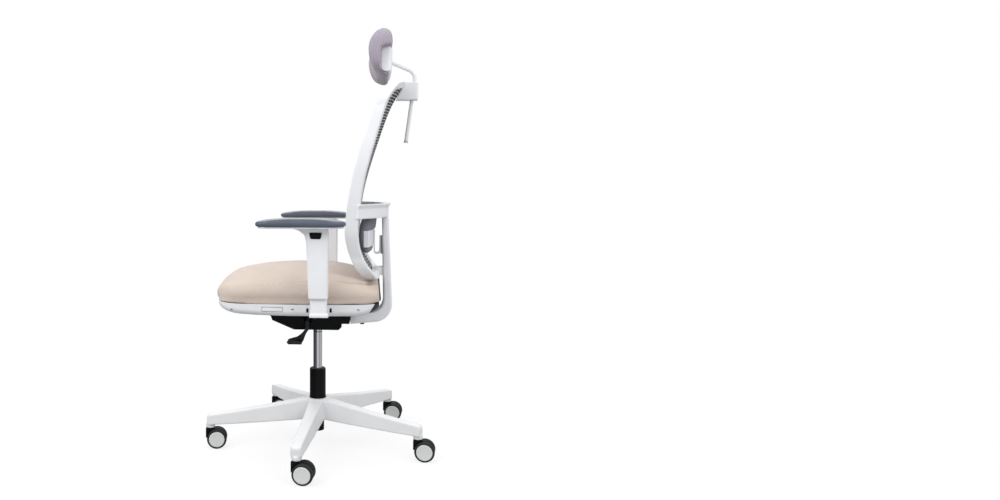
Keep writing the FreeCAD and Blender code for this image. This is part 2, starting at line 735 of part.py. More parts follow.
# Tilt mechanism: housing, pins, spring, recline carrier and seat carrier
def make_mechanism():
    housing = new_body("housing_body")
    front_top = "housing_bottom + housing_front_rise"
    rear_top = "housing_bottom + housing_rear_rise"
    pad(housing, polygon(housing, "YZ_Plane", [
        ("-housing_front", front_top), ("6 - housing_front", "housing_bottom + housing_front_rise - 16"),
        ("-housing_toe", "housing_bottom"), ("housing_rear - 9", "housing_bottom"),
        ("housing_rear", "housing_bottom + 9"), ("housing_rear", rear_top),
        ("-housing_front + 54", "housing_bottom + housing_front_rise - 3"),
    ]), "2 * housing_half")
    pocket(housing, polygon(housing, "YZ_Plane", [
        ("2 * housing_wall - housing_front", front_top + " + 20"),
        ("2 * housing_wall + 4 - housing_front", "housing_bottom + housing_front_rise - 14"),
        ("-housing_toe + 1", "housing_bottom + housing_wall"),
        ("housing_rear - housing_wall", "housing_bottom + housing_wall"),
        ("housing_rear - housing_wall", front_top + " + 20"),
    ]), "2 * (housing_half - housing_wall)")
    pad(housing, disc(housing, "XY_Plane", "0", "0", "boss_radius", "housing_bottom + housing_wall / 2"),
        "boss_height - housing_wall / 2", False)
    pocket(housing, disc(housing, "XY_Plane", "0", "0", "cylinder_radius + fixed_clear",
                         "housing_bottom"), "4 * boss_height")
    # the rear wall is open for the recline carrier
    pocket(housing, polygon(housing, "XZ_Plane", [
        ("-housing_half + 12", "housing_bottom + 8"), ("housing_half - 12", "housing_bottom + 8"),
        ("housing_half - 12", front_top + " + 20"), ("12 - housing_half", front_top + " + 20"),
    ], "-housing_rear"), "3 * housing_wall")
    # notch for the height lever in the sitter's left wall
    pocket(housing, polygon(housing, "YZ_Plane", [
        ("-lever_ahead - lever_width", "lever_level - 4"), ("lever_width - lever_ahead", "lever_level - 4"),
        ("lever_width - lever_ahead", front_top), ("-lever_ahead - lever_width", front_top),
    ], "housing_half"), "4 * housing_wall")
    for behind, level, radius in (("recline_behind", "recline_level", "recline_pin_radius"),
                                  ("-tilt_ahead", "tilt_level", "tilt_pin_radius")):
        pocket(housing, disc(housing, "YZ_Plane", behind, level, radius + " + fixed_clear"),
               "3 * housing_half")
    # two lugs hold the lever's pin
    for ahead in ("lever_ahead - lever_width", "lever_ahead + lever_width"):
        lug_front = "-(%s) - 2" % ahead
        lug_rear = "2 - (%s)" % ahead
        pad(housing, polygon(housing, "XY_Plane", [
            ("lever_pivot_out - 5", lug_front), ("lever_pivot_out + 5", lug_front),
            ("lever_pivot_out + 5", lug_rear), ("lever_pivot_out - 5", lug_rear),
        ], "housing_bottom + housing_wall / 2"),
            "lever_level - housing_bottom - housing_wall / 2 + lever_pin_radius + 1", False)
    lever_hole = disc(housing, "XZ_Plane", "lever_pivot_out", "lever_level - lever_pin_radius - 1",
                      "lever_pin_radius + fixed_clear", "lever_ahead")
    pocket(housing, lever_hole, "4 * lever_width")
    node(housing, "mechanism_housing")

    pins = [
        rod("recline_pin", ("1 - housing_half", "recline_behind", "recline_level"), "recline_pin_radius",
            "2 * housing_half - 2", SIDEWAYS),
        rod("tilt_pin", ("1 - housing_half", "-tilt_ahead", "tilt_level"), "tilt_pin_radius",
            "2 * housing_half - 2", SIDEWAYS),
        rod("lever_pin", ("lever_pivot_out", "-lever_ahead - lever_width - 2",
                          "lever_level - lever_pin_radius - 1"), "lever_pin_radius",
            "2 * lever_width + 4", LENGTHWAYS),
    ]
    node(group("pivot_pin_group", pins), "pivot_pins")

    carrier = new_body("recline_carrier_body")
    pad(carrier, polygon(carrier, "YZ_Plane", [
        ("recline_behind - 8", "recline_level - 4"), ("recline_behind - 2", "recline_level - 9.3"),
        ("recline_behind + 6", "recline_level - 8"), ("housing_rear + 3", "recline_level + 5"),
        ("upright_foot - part_clear", "recline_level + 7"),
        ("upright_foot - part_clear", "recline_level + 21"),
        ("recline_behind + 12", "recline_level + 17"), ("recline_behind - 8", "recline_level + 8"),
    ]), "2 * (housing_half - housing_wall - 13)")
    pad(carrier, polygon(carrier, "YZ_Plane", [
        ("upright_foot - 4", "recline_level + 8"), ("upright_foot + tongue_length", "recline_level + 8"),
        ("upright_foot + tongue_length", "recline_level + 8 + tongue_height"),
        ("upright_foot - 4", "recline_level + 8 + tongue_height"),
    ]), "2 * tongue_half")
    pocket(carrier, polygon(carrier, "YZ_Plane", [
        ("recline_behind - 20", "recline_level - 20"), ("recline_behind + 14", "recline_level - 20"),
        ("recline_behind + 14", "recline_level + 40"), ("recline_behind - 20", "recline_level + 40"),
    ]), "spring_turns * spring_pitch + 4 * spring_wire")
    pocket(carrier, disc(carrier, "YZ_Plane", "recline_behind", "recline_level",
                         "recline_pin_radius + running_clear"), "3 * housing_half")
    for side in ("bolt_spacing / 2", "-bolt_spacing / 2"):
        pocket(carrier, disc(carrier, "XY_Plane", side, "upright_foot + tongue_length * 0.75",
                             "bolt_radius + fixed_clear", "recline_level"), "6 * tongue_height")
    node(carrier, "recline_carrier")

    seat_carrier = new_body("seat_carrier_body")
    front = "housing_front + 11"
    pad(seat_carrier, polygon(seat_carrier, "YZ_Plane", [
        ("-(%s)" % front, "carrier_bottom"), ("carrier_rear", "carrier_bottom"),
        ("carrier_rear", "carrier_top"), ("-(%s)" % front, "carrier_top"),
    ]), "2 * carrier_half")
    for side in ("", "-"):
        skirt = polygon(seat_carrier, "YZ_Plane", [
            ("-(%s)" % front, "carrier_bottom + 1"), ("-housing_front", "carrier_bottom - 7"),
            ("-lever_ahead - 2 * lever_width", "carrier_bottom - 16"),
            ("-lever_ahead - 2 * lever_width", "carrier_bottom - 3"),
            ("2 * lever_width - lever_ahead", "carrier_bottom - 3"),
            ("2 * lever_width - lever_ahead", "carrier_bottom - 23"),
            ("housing_rear", "carrier_bottom - 29"), ("carrier_rear", "carrier_bottom - 29"),
            ("carrier_rear", "carrier_bottom + 1"),
        ], side + "(carrier_half - skirt_wall / 2)")
        pad(seat_carrier, skirt, "skirt_wall")
        ear = polygon(seat_carrier, "YZ_Plane", [
            ("-tilt_ahead - 8", "carrier_bottom + 1"), ("-tilt_ahead - 8", "tilt_level - 2"),
            ("-tilt_ahead - 3", "tilt_level - 8"), ("-tilt_ahead + 3", "tilt_level - 8"),
            ("8 - tilt_ahead", "tilt_level - 2"), ("8 - tilt_ahead", "carrier_bottom + 1"),
        ], side + "(housing_half - housing_wall - 6)")
        pad(seat_carrier, ear, "6")
        rail = polygon(seat_carrier, "XZ_Plane", [
            ("%s(rail_offset - rail_width / 2)" % side, "carrier_top - 1"),
            ("%s(rail_offset + rail_width / 2)" % side, "carrier_top - 1"),
            ("%s(rail_offset + rail_width / 2)" % side, "carrier_top + rail_height"),
            ("%s(rail_offset - rail_width / 2)" % side, "carrier_top + rail_height"),
        ], "(%s - carrier_rear) / 2" % front)
        pad(seat_carrier, rail, "%s + carrier_rear" % front)
    pocket(seat_carrier, disc(seat_carrier, "YZ_Plane", "-tilt_ahead", "tilt_level",
                              "tilt_pin_radius + running_clear"), "3 * housing_half")
    node(seat_carrier, "seat_carrier")


def make_tilt_spring():
    """A torsion spring wound round the recline pin, as quarter turns of wire."""
    radius = size("recline_pin_radius") + size("slide_clear") + size("spring_wire") / 2
    turns = int(size("spring_turns"))
    pitch = size("spring_pitch")
    centre = V(0, size("recline_behind"), size("recline_level"))

    def point(turn):
        swing = 2 * math.pi * turn
        across = pitch * (turn - turns / 2)
        return centre + V(across, radius * math.cos(swing), radius * math.sin(swing))

    quarters = [Part.Arc(point(k / 4), point((k + 0.5) / 4), point((k + 1) / 4)).toShape()
                for k in range(4 * turns)]
    path = Part.Wire(quarters)
    start = point(0)
    section = Part.Wire(Part.Circle(start, point(0.001) - start, size("spring_wire") / 2).toShape())
    steps = range(16 * (turns - 1))
    gap = min((point(k / 16) - point(k / 16 + 1)).Length for k in steps) - size("spring_wire")
    print("tilt spring: least gap between turns %.2f mm" % gap)
    formed("tilt_spring", path.makePipeShell([section], True, False))


# Height lever: a rocker over the release pin with a hanging paddle
def make_lever():
    bar = box("lever_bar", ("-6", "-lever_ahead - lever_width / 2", "lever_level"),
              ("lever_out + lever_arm / 2", "lever_width / 2 - lever_ahead",
               "lever_level + lever_thickness"))
    toe = box("lever_toe", ("-6", "-lever_ahead", "lever_level"),
              ("7", "release_pin_radius + 2", "lever_level + lever_thickness"))
    hub = box("lever_hub", ("lever_pivot_out - 6", "-lever_ahead - lever_width / 2",
                            "lever_level - 2 * lever_pin_radius - 4"),
              ("lever_pivot_out + 6", "lever_width / 2 - lever_ahead", "lever_level + 1"))
    low = "lever_level - lever_drop"
    tip = "-lever_ahead - lever_paddle_length"
    hang = new_body("lever_hanging_arm")
    pad(hang, polygon(hang, "YZ_Plane", [
        ("lever_width / 2 - lever_ahead", "lever_level + lever_thickness"),
        ("lever_width / 2 - lever_ahead", "lever_level - 20"), ("-lever_ahead - 4", low + " + 26"),
        ("-lever_ahead - 12", low + " + 4"), ("-lever_ahead - 18", low), (tip + " + 5", low),
        (tip, low + " + 5"), (tip + " + 2", low + " + 9"), ("-lever_ahead - 30", low + " + 17"),
        ("-lever_ahead - 19", low + " + 25"), ("-lever_ahead - lever_width / 2", "lever_level - 20"),
        ("-lever_ahead - lever_width / 2", "lever_level + lever_thickness"),
    ], "lever_out + lever_arm / 2"), "lever_arm")
    paddle = new_body("lever_paddle")
    pad(paddle, polygon(paddle, "YZ_Plane", [
        ("-lever_ahead - 14", low), (tip + " + 5", low), (tip, low + " + 5"), (tip + " + 2", low + " + 9"),
        ("-lever_ahead - 30", low + " + 12"), ("-lever_ahead - 14", low + " + 6"),
    ], "lever_out + lever_paddle_width / 2"), "lever_paddle_width")
    whole = joined("lever_whole", [bar, toe, hub, hang, paddle])
    hole = rod("lever_pin_hole", ("lever_pivot_out", "-lever_ahead - 2 * lever_width",
                                  "lever_level - lever_pin_radius - 1"),
               "lever_pin_radius + running_clear", "4 * lever_width", LENGTHWAYS)
    node(cut("height_lever_cut", whole, hole), "height_lever")


# Seat: shell, depth paddle and cushion

# Stations from front to back: share of the length, share of the half width, rise of the underside
SHELL_STATIONS = (
    (0.000, 0.56, 28), (0.0054, 0.68, 25), (0.017, 0.77, 21), (0.036, 0.845, 16.5), (0.066, 0.905, 11),
    (0.113, 0.952, 6), (0.19, 0.982, 3), (0.32, 0.996, 1), (0.61, 1.0, 0), (0.81, 0.985, 0.5),
    (0.907, 0.955, 3), (0.964, 0.905, 11), (1.000, 0.83, 26),
)

# Cushion stations from front to back: share of the length, share of the half width, share of the crown
CUSHION_STATIONS = (
    (0.000, 0.248, 0.12), (0.007, 0.38, 0.22), (0.018, 0.504, 0.32), (0.032, 0.62, 0.43),
    (0.048, 0.724, 0.53), (0.070, 0.816, 0.63), (0.107, 0.908, 0.73), (0.177, 0.98, 0.825),
    (0.306, 1.008, 0.935), (0.497, 1.016, 0.995), (0.684, 1.012, 0.975), (0.777, 1.004, 0.895),
    (0.845, 0.988, 0.79), (0.901, 0.968, 0.675), (0.950, 0.932, 0.555), (0.982, 0.876, 0.46),
    (1.000, 0.80, 0.26),
)


def tray(wall, top):
    """The seat shell's outer form, or with a wall the hollow inside it."""
    front = wall - size("seat_front")
    rear = size("seat_rear") - wall
    wires = []
    for share, wide, rise in SHELL_STATIONS:
        y = blend(front, rear, share)
        half = size("seat_half") * wide - wall
        low = size("shell_bottom") + rise + wall
        corner = min(size("shell_corner"), 0.8 * (top - low))
        side = 0.3 * corner
        left = (-half, y, low + corner)
        right = (half, y, low + corner)
        foot = half - corner
        wires.append(Part.Wire([
            line((-half, y, top), left),
            arc(left, (-half + side, y, low + side), (-foot, y, low)),
            line((-foot, y, low), (foot, y, low)),
            arc((foot, y, low), (half - side, y, low + side), right),
            line(right, (half, y, top)),
            line((half, y, top), (-half, y, top)),
        ]))
    return Part.makeLoft(wires, True, False)


def make_seat():
    shell = tray(0, size("shell_rim"))
    hollow = tray(size("shell_wall"), size("shell_rim") + size("shell_height"))
    shell = shell.cut(hollow)
    # runners that hug the carrier's rails
    clear = size("slide_clear")
    rail_half = size("rail_width") / 2 + clear
    runner_half = rail_half + size("runner_wall")
    rail_top = size("carrier_top") + size("rail_height")
    low = size("carrier_top") + 3
    front = -size("housing_front")
    length = size("housing_front") + size("carrier_rear") - 2
    for side in (-1, 1):
        middle = side * size("rail_offset")
        runner = Part.makeBox(2 * runner_half, length, size("shell_bottom") + 3 - low,
                              V(middle - runner_half, front, low))
        groove = Part.makeBox(2 * rail_half, 2 * length, rail_top + clear - low + 10,
                              V(middle - rail_half, front - length / 2, low - 10))
        shell = shell.fuse(runner).cut(groove)
        # slot for the arm's bar
        slot_clear = size("part_clear")
        slot_depth = size("arm_bar_depth") + 2 * slot_clear
        slot = Part.makeBox(40, slot_depth, size("arm_bar_thickness") + 2 * slot_clear,
                            V(side * (size("seat_half") - 4) - 20, size("arm_behind") - slot_depth / 2,
                              size("arm_bar_bottom") - slot_clear))
        shell = shell.cut(slot)
    # window for the depth paddle, on the sitter's left
    gap = size("paddle_gap")
    low = size("paddle_bottom")
    high = low + size("paddle_height")
    front = -size("paddle_front")
    window = Part.makeBox(40, size("paddle_length") + 2 * gap, high - low + 2 * gap,
                          V(size("seat_half") - 22, front - gap, low - gap))
    formed("seat_shell", shell.cut(window).removeSplitter())

    # the paddle swings on its half-round upper edge
    outer = size("seat_half") - size("paddle_sunk")
    round_half = size("paddle_thickness") / 2
    axis = outer - round_half
    inner = axis - round_half
    eaves = high - round_half
    profile = Part.Wire([
        line((inner, front, low), (outer, front, low)),
        line((outer, front, low), (outer, front, eaves)),
        arc((outer, front, eaves), (axis, front, high), (inner, front, eaves)),
        line((inner, front, eaves), (inner, front, low)),
    ])
    formed("depth_paddle", Part.Face(profile).extrude(V(0, size("paddle_length"), 0)))


def make_cushion():
    """Crowned pad with drawn-in sides, and a core that drops into the shell."""
    bottom = size("cushion_bottom")
    front = -size("seat_front") - size("cushion_front_overhang")
    rear = size("seat_rear") + size("cushion_rear_overhang")
    wires = []
    for share, wide, crown in CUSHION_STATIONS:
        y = blend(front, rear, share)
        half = wide * size("seat_half")
        top = bottom + size("cushion_crown") * crown
        tall = top - bottom
        shoulder = bottom + 0.70 * tall
        seam = half - 0.16 * tall - 2
        edge = half - 0.24 * tall
        wires.append(Part.Wire([
            line((-seam, y, bottom), (seam, y, bottom)),
            arc((seam, y, bottom), (half, y, bottom + 0.36 * tall), (edge, y, shoulder)),
            arc((edge, y, shoulder), (0, y, top), (-edge, y, shoulder)),
            arc((-edge, y, shoulder), (-half, y, bottom + 0.36 * tall), (-seam, y, bottom)),
        ]))
    crown = Part.makeLoft(wires, True, False)
    core_half = 0.84 * size("seat_half")
    core_low = size("arm_bar_bottom") + size("arm_bar_thickness") + 3
    core = Part.makeBox(2 * core_half, 0.66 * (rear - front), bottom + 4 - core_low,
                        V(-core_half, front + 0.20 * (rear - front), core_low))
    formed("seat_cushion", crown.fuse(core).removeSplitter())


# Arms: stem, sleeve, height button, plate and pad on the sitter's left, mirrored to the right

# Arm pad levels from the bottom up: share of the height, how far its sides and its ends draw in
ARM_PAD_LEVELS = (
    (0, 4, 4), (0.22, 0.5, 0.5), (0.45, 0, 1.5), (0.66, 1.5, 10), (0.83, 4, 30), (0.94, 8, 56), (1, 16, 84),
)


def oblong(z, half, front, rear, corner, middle):
    """A flat outline with rounded corners, as lines and quarter arcs."""
    left = middle - half
    right = middle + half
    bow = corner * (1 - math.sqrt(0.5))
    return Part.Wire([
        line((left + corner, front, z), (right - corner, front, z)),
        arc((right - corner, front, z), (right - bow, front + bow, z), (right, front + corner, z)),
        line((right, front + corner, z), (right, rear - corner, z)),
        arc((right, rear - corner, z), (right - bow, rear - bow, z), (right - corner, rear, z)),
        line((right - corner, rear, z), (left + corner, rear, z)),
        arc((left + corner, rear, z), (left + bow, rear - bow, z), (left, rear - corner, z)),
        line((left, rear - corner, z), (left, front + corner, z)),
        arc((left, front + corner, z), (left + bow, front + bow, z), (left + corner, front, z)),
    ])


def make_arms():
    low = "arm_bar_bottom"
    post = box("arm_post", ("arm_offset - arm_stem_half", "arm_behind - arm_stem_depth / 2", low),
               ("arm_offset + arm_stem_half", "arm_behind + arm_stem_depth / 2", low + " + arm_stem_top"))
    foot = box("arm_foot", ("arm_offset - arm_stem_half", "arm_behind - arm_stem_depth / 2 - 2", low),
               ("arm_offset + arm_stem_half + 2", "arm_behind + arm_stem_depth / 2 + 4",
                low + " + arm_bar_thickness"))
    bar = box("arm_bar", ("arm_offset - arm_stem_half - arm_bar_length", "arm_behind - arm_bar_depth / 2",
                          low),
              ("arm_offset", "arm_behind + arm_bar_depth / 2", low + " + arm_bar_thickness"))
    stem = node(joined("arm_stem_whole", [post, foot, bar]), "arm_stem_left")

    sleeve = new_body("arm_sleeve_body")
    front = "arm_behind - sleeve_front"
    pad(sleeve, polygon(sleeve, "YZ_Plane", [
        (front + " + 6", "sleeve_bottom"), ("arm_behind + sleeve_rear - 1", "sleeve_bottom"),
        ("arm_behind + sleeve_rear", "sleeve_top"), (front + " - sleeve_flare", "sleeve_top"),
        (front + " - sleeve_flare / 2", "sleeve_top - 6"), (front + " - 5", "sleeve_top - 17"),
        (front, "sleeve_top - 36"),
    ], "arm_offset"), "2 * sleeve_half")
    doc.recompute()
    soften(sleeve, lambda edge: along(2)(edge) or edge.BoundBox.ZLength > 60, "6")
    pocket(sleeve, polygon(sleeve, "XY_Plane", [
        ("arm_offset - arm_stem_half - slide_clear", "arm_behind - arm_stem_depth / 2 - slide_clear"),
        ("arm_offset + arm_stem_half + slide_clear", "arm_behind - arm_stem_depth / 2 - slide_clear"),
        ("arm_offset + arm_stem_half + slide_clear", "arm_behind + arm_stem_depth / 2 + slide_clear"),
        ("arm_offset - arm_stem_half - slide_clear", "arm_behind + arm_stem_depth / 2 + slide_clear"),
    ], "sleeve_bottom"), "2 * (sleeve_height - 6)")
    wide = "button_width / 2"
    button_top = "sleeve_top - 12"
    button_corners = [
        ("arm_behind - 7 - %s", button_top), ("arm_behind - 7 + %s", button_top),
        ("arm_behind - 11 + %s", button_top + " - button_height"),
        ("arm_behind - 3 - %s", button_top + " - button_height"),
    ]
    pocket(sleeve, polygon(sleeve, "YZ_Plane", [
        (across % ("(%s + slide_clear)" % wide), up + rim) for (across, up), rim in
        zip(button_corners, (" + slide_clear", " + slide_clear", " - slide_clear", " - slide_clear"))
    ], "arm_offset + sleeve_half"), "2 * (button_depth + 1.8)")
    pad(sleeve, disc(sleeve, "XY_Plane", "arm_offset", "arm_behind", "8", "sleeve_top - 1"),
        "1 + slide_clear + arm_plate - 0.5", False)
    node(sleeve, "arm_sleeve_left")

    button = new_body("arm_button_body")
    pad(button, polygon(button, "YZ_Plane", [(across % wide, up) for across, up in button_corners],
                        "arm_offset + sleeve_half + 1 - button_depth / 2"), "button_depth")
    node(button, "arm_button_left")

    middle = size("arm_offset") + size("arm_pad_inset")
    pad_front = -size("arm_pad_ahead")
    pad_rear = pad_front + size("arm_pad_length")
    plate_low = size("arm_plate_bottom")
    inset = 6
    plate_half = size("arm_pad_half") - inset
    corner = plate_half - 4
    plate = Part.Face(oblong(plate_low, plate_half, pad_front + inset, pad_rear - inset, corner, middle))
    plate = plate.extrude(V(0, 0, size("arm_plate")))
    pivot = V(size("arm_offset"), size("arm_behind"), plate_low - 1)
    plate = plate.cut(Part.makeCylinder(8 + size("running_clear"), size("arm_plate") + 2, pivot))
    key_half = size("arm_key_half")
    key_rear = size("arm_behind") - 15
    key = Part.makeBox(2 * key_half, size("arm_key_length"), 5,
                       V(middle - key_half, key_rear - size("arm_key_length"), plate_low + size("arm_plate")))
    plate = formed("arm_plate_left", plate.fuse(key).removeSplitter())

    low = size("arm_pad_bottom")
    tall = size("arm_pad_height")
    corner = size("arm_pad_half") - 6
    wires = []
    for share, side, end in ARM_PAD_LEVELS:
        wires.append(oblong(low + tall * share, size("arm_pad_half") - side, pad_front + end,
                            pad_rear - end, corner - side, middle))
    cushion = Part.makeLoft(wires, True, False)
    clear = size("slide_clear")
    travel = size("arm_pad_travel") + 2
    groove = Part.makeBox(2 * (key_half + clear), size("arm_key_length") + 2 * travel, 5 + 1,
                          V(middle - key_half - clear, key_rear - size("arm_key_length") - travel, low - 1))
    cushion = formed("arm_pad_left", cushion.cut(groove))

    for source, label in ((stem, "arm_stem"), (sleeve, "arm_sleeve"), (button, "arm_button"),
                          (plate, "arm_plate"), (cushion, "arm_pad")):
        mirrored(source, label + "_right")


# Back: frame loop, mesh, yoke, upright and bracket

# Rail stations from bottom to top: share of the height, front and depth of the rail, share of the top's sag
RAIL_STATIONS = (
    (0.000, 150, 24, 0), (0.031, 130, 38, 0), (0.072, 114, 38, 0), (0.141, 97, 35, 0), (0.228, 87, 37, 0),
    (0.34, 92, 36, 0), (0.452, 103, 34, 0.1), (0.624, 127, 34, 0.28), (0.77, 152, 32, 0.55),
    (0.90, 179, 30, 0.85), (1.000, 211, 24, 1),
)


def band(z, half, front, depth, sag):
    """A level slice through the curved back, between two arcs."""
    rear = front + depth
    return Part.Wire([
        arc((-half, front, z), (0, front + sag, z), (half, front, z)),
        line((half, front, z), (half, rear, z)),
        arc((half, rear, z), (0, rear + sag, z), (-half, rear, z)),
        line((-half, rear, z), (-half, front, z)),
    ])


def back_outline(inset, y):
    """The back's outline seen from the front, drawn in by an even inset."""
    low = size("frame_bottom")
    tall = size("frame_height")
    half = size("frame_half")

    def at(across, share):
        return (across * half, y, low + share * tall)

    right = [
        arc(at(0.62, 0.970), at(0.86, 0.930), at(0.925, 0.855)),
        arc(at(0.925, 0.855), at(1.0, 0.45), at(0.875, 0.12)),
        arc(at(0.875, 0.12), at(0.79, 0.035), at(0.58, 0.006)),
    ]
    left = [
        arc(at(-0.58, 0.006), at(-0.79, 0.035), at(-0.875, 0.12)),
        arc(at(-0.875, 0.12), at(-1.0, 0.45), at(-0.925, 0.855)),
        arc(at(-0.925, 0.855), at(-0.86, 0.930), at(-0.62, 0.970)),
    ]
    top = arc(at(-0.62, 0.970), at(0, 0.999), at(0.62, 0.970))
    bottom = arc(at(0.58, 0.006), at(0, 0.001), at(-0.58, 0.006))
    wire = Part.Wire(right + [bottom] + left + [top])
    if inset:
        wire = wire.makeOffset2D(-inset)
    return wire


def curtain(inset):
    """The outline drawn through the whole depth of the back."""
    ahead = -200
    return Part.Face(back_outline(inset, ahead)).extrude(V(0, 800, 0))


def back_slab(inset, thickness, sag):
    """A curved slab over the whole back, behind the rail's front or, with a thickness, ahead of its rear."""
    low = size("frame_bottom")
    tall = size("frame_height")
    half = size("frame_half") + 5
    slices = []
    for share, front, depth, lean in RAIL_STATIONS:
        if thickness:
            front = front + depth - inset
            depth = thickness
        slices.append(band(low + share * tall, half, front, depth, blend(sag, size("top_sag"), lean)))
    return Part.makeLoft(slices, True, False)


def make_back():
    """The frame and its mesh. Gives the frame, and the mesh with a little room round it."""
    rail = size("frame_rail")
    inset = size("mesh_inset")
    thickness = size("mesh_thickness")
    clear = size("part_clear")
    grip = rail - size("mesh_grip")
    web = back_slab(inset, thickness, size("mesh_sag")).common(curtain(grip))
    frame = back_slab(0, 0, size("frame_sag")).common(curtain(0)).cut(curtain(rail)).cut(web)
    formed("back_frame", frame)
    formed("back_mesh", web)
    room = back_slab(inset + clear, thickness + 2 * clear, size("mesh_sag")).common(curtain(grip - clear))
    return frame, room


def main_solid(shape):
    """The largest solid of a cut, without the crumbs."""
    return max(shape.Solids, key=lambda solid: solid.Volume)


def make_back_carriers(frame, mesh_room):
    yoke = new_body("yoke_body")
    outer = "yoke_radius + yoke_wall / 2"
    inner = "yoke_radius - yoke_wall / 2"
    top = "yoke_bottom + yoke_height"
    revolve(yoke, polygon(yoke, "YZ_Plane", [
        (inner, "yoke_bottom"), (outer, "yoke_bottom"), (outer, top + " - 2 * yoke_lip_height"),
        (outer + " + yoke_lip", top), (inner, top),
    ]), "V_Axis", "2 * yoke_half_angle")
    doc.recompute()
    centre = size("yoke_rear") - size("yoke_wall") / 2 - size("yoke_radius")
    yoke.Placement = FreeCAD.Placement(V(0, centre, 0), UPWARD)
    doc.recompute()
    free_yoke = yoke.Shape.cut(frame).cut(mesh_room)
    formed("back_yoke", main_solid(free_yoke))

    upright = new_body("upright_body")
    floor = "housing_bottom + upright_foot_drop"
    pad(upright, polygon(upright, "YZ_Plane", [
        ("upright_foot", floor), ("upright_rear", floor + " + upright_heel_rise"),
        ("yoke_rear", "yoke_bottom"), ("upright_front - upright_lean", "yoke_bottom"),
        ("upright_front", "housing_bottom + upright_foot_top + upright_knee_rise"),
        ("upright_foot", "housing_bottom + upright_foot_top"),
    ]), "2 * upright_half")
    doc.recompute()

    def corner(y, z):
        def test(edge):
            middle = edge.BoundBox.Center
            return along(0)(edge) and abs(middle.y - y) < 1 and abs(middle.z - z) < 1
        return test

    heel = size("housing_bottom") + size("upright_foot_drop") + size("upright_heel_rise")
    knee = size("housing_bottom") + size("upright_foot_top") + size("upright_knee_rise")
    soften(upright, corner(size("upright_rear"), heel), "upright_outer_round")
    soften(upright, corner(size("upright_front"), knee), "upright_inner_round")
    sides = size("upright_half")
    soften(upright, lambda edge: edge.BoundBox.XLength < 1e-6 and abs(abs(edge.BoundBox.XMin) - sides) < 1e-6
           and edge.BoundBox.Center.y > size("upright_foot") + 1
           and edge.BoundBox.ZMin < size("yoke_bottom") - 1, "upright_edge_round")
    pocket(upright, polygon(upright, "YZ_Plane", [
        ("upright_foot - 5", "recline_level + 8 - fixed_clear"),
        ("upright_foot + tongue_length + part_clear", "recline_level + 8 - fixed_clear"),
        ("upright_foot + tongue_length + part_clear", "recline_level + 8 + tongue_height + fixed_clear"),
        ("upright_foot - 5", "recline_level + 8 + tongue_height + fixed_clear"),
    ]), "2 * (tongue_half + fixed_clear)")
    bolt_behind = "upright_foot + tongue_length * 0.75"
    for side in ("bolt_spacing / 2", "-bolt_spacing / 2"):
        pocket(upright, disc(upright, "XY_Plane", side, bolt_behind, "bolt_radius + fixed_clear",
                             "recline_level"), "30")
    pocket(upright, polygon(upright, "XZ_Plane", [
        ("-track_half - fixed_clear", "track_bottom"), ("track_half + fixed_clear", "track_bottom"),
        ("track_half + fixed_clear", "track_bottom + track_length"),
        ("-track_half - fixed_clear", "track_bottom + track_length"),
    ], "-track_front"), "2 * track_depth")
    node(upright, "back_upright")


def make_track_and_bracket(frame):
    low = "track_bottom"
    block = box("track_block", ("-track_half", "track_front", low + " + fixed_clear"),
                ("track_half", "track_front + track_depth - fixed_clear",
                 low + " + track_length - fixed_clear"))
    groove = box("track_groove", ("-slider_tongue - slide_clear", "track_front - 1", low + " + 4"),
                 ("slider_tongue + slide_clear", "track_front + 4", low + " + track_length - 4"))
    node(cut("upright_track_cut", block, groove), "upright_track")

    upright = [thing for thing in NODES if thing.Label == "back_upright"][0]
    half = size("bracket_half")
    bottom = size("frame_bottom") + size("bracket_lift")
    front = size("upright_front") - size("bracket_reach")
    bracket = Part.makeBox(2 * half, size("bracket_reach") + 4, size("bracket_height"),
                           V(-half, front, bottom))
    formed("lower_bracket", bracket.cut(frame).cut(upright.Shape))

    bolts = []
    behind = "upright_foot + tongue_length * 0.75"
    head_low = "recline_level - bolt_head - 1.5"
    for number, side in enumerate(("bolt_spacing / 2", "-bolt_spacing / 2")):
        head = rod("bolt_head_%d" % number, (side, behind, head_low), "bolt_head_radius", "bolt_head")
        shank = rod("bolt_shank_%d" % number, (side, behind, head_low), "bolt_radius",
                    "bolt_head + tongue_height + 9")
        bolts.append(joined("bolt_%d" % number, [head, shank]))
    node(group("carrier_bolt_group", bolts), "carrier_bolts")


# Lumbar support: slider in the upright's track, spring leaf, shell and pad

# Pad stations: share of the height, front and rear at the middle as distances ahead of the track, share of
# the half width
LUMBAR_STATIONS = (
    (0.00, 49, 36, 0.80), (0.10, 58, 31, 0.93), (0.37, 62.5, 27, 1.0), (0.66, 63, 23, 1.0),
    (0.89, 59, 20, 0.93), (1.00, 47, 23, 0.80),
)


def lumbar_pad_section(z, front, rear, half):
    """A level slice of the pad: a shallow arc ahead, a fuller one behind and round ends."""
    full = size("lumbar_half")
    lead = 6 * (half / full) ** 2
    trail = 0.55 * (rear - front) * (half / full) ** 2
    nose = front - lead
    tail = rear - trail
    bow = (tail - nose) / 2
    return Part.Wire([
        arc((-half, nose, z), (0, front, z), (half, nose, z)),
        arc((half, nose, z), (half + 0.7 * bow, nose + bow, z), (half, tail, z)),
        arc((half, tail, z), (0, rear, z), (-half, tail, z)),
        arc((-half, tail, z), (-half - 0.7 * bow, nose + bow, z), (-half, nose, z)),
    ])


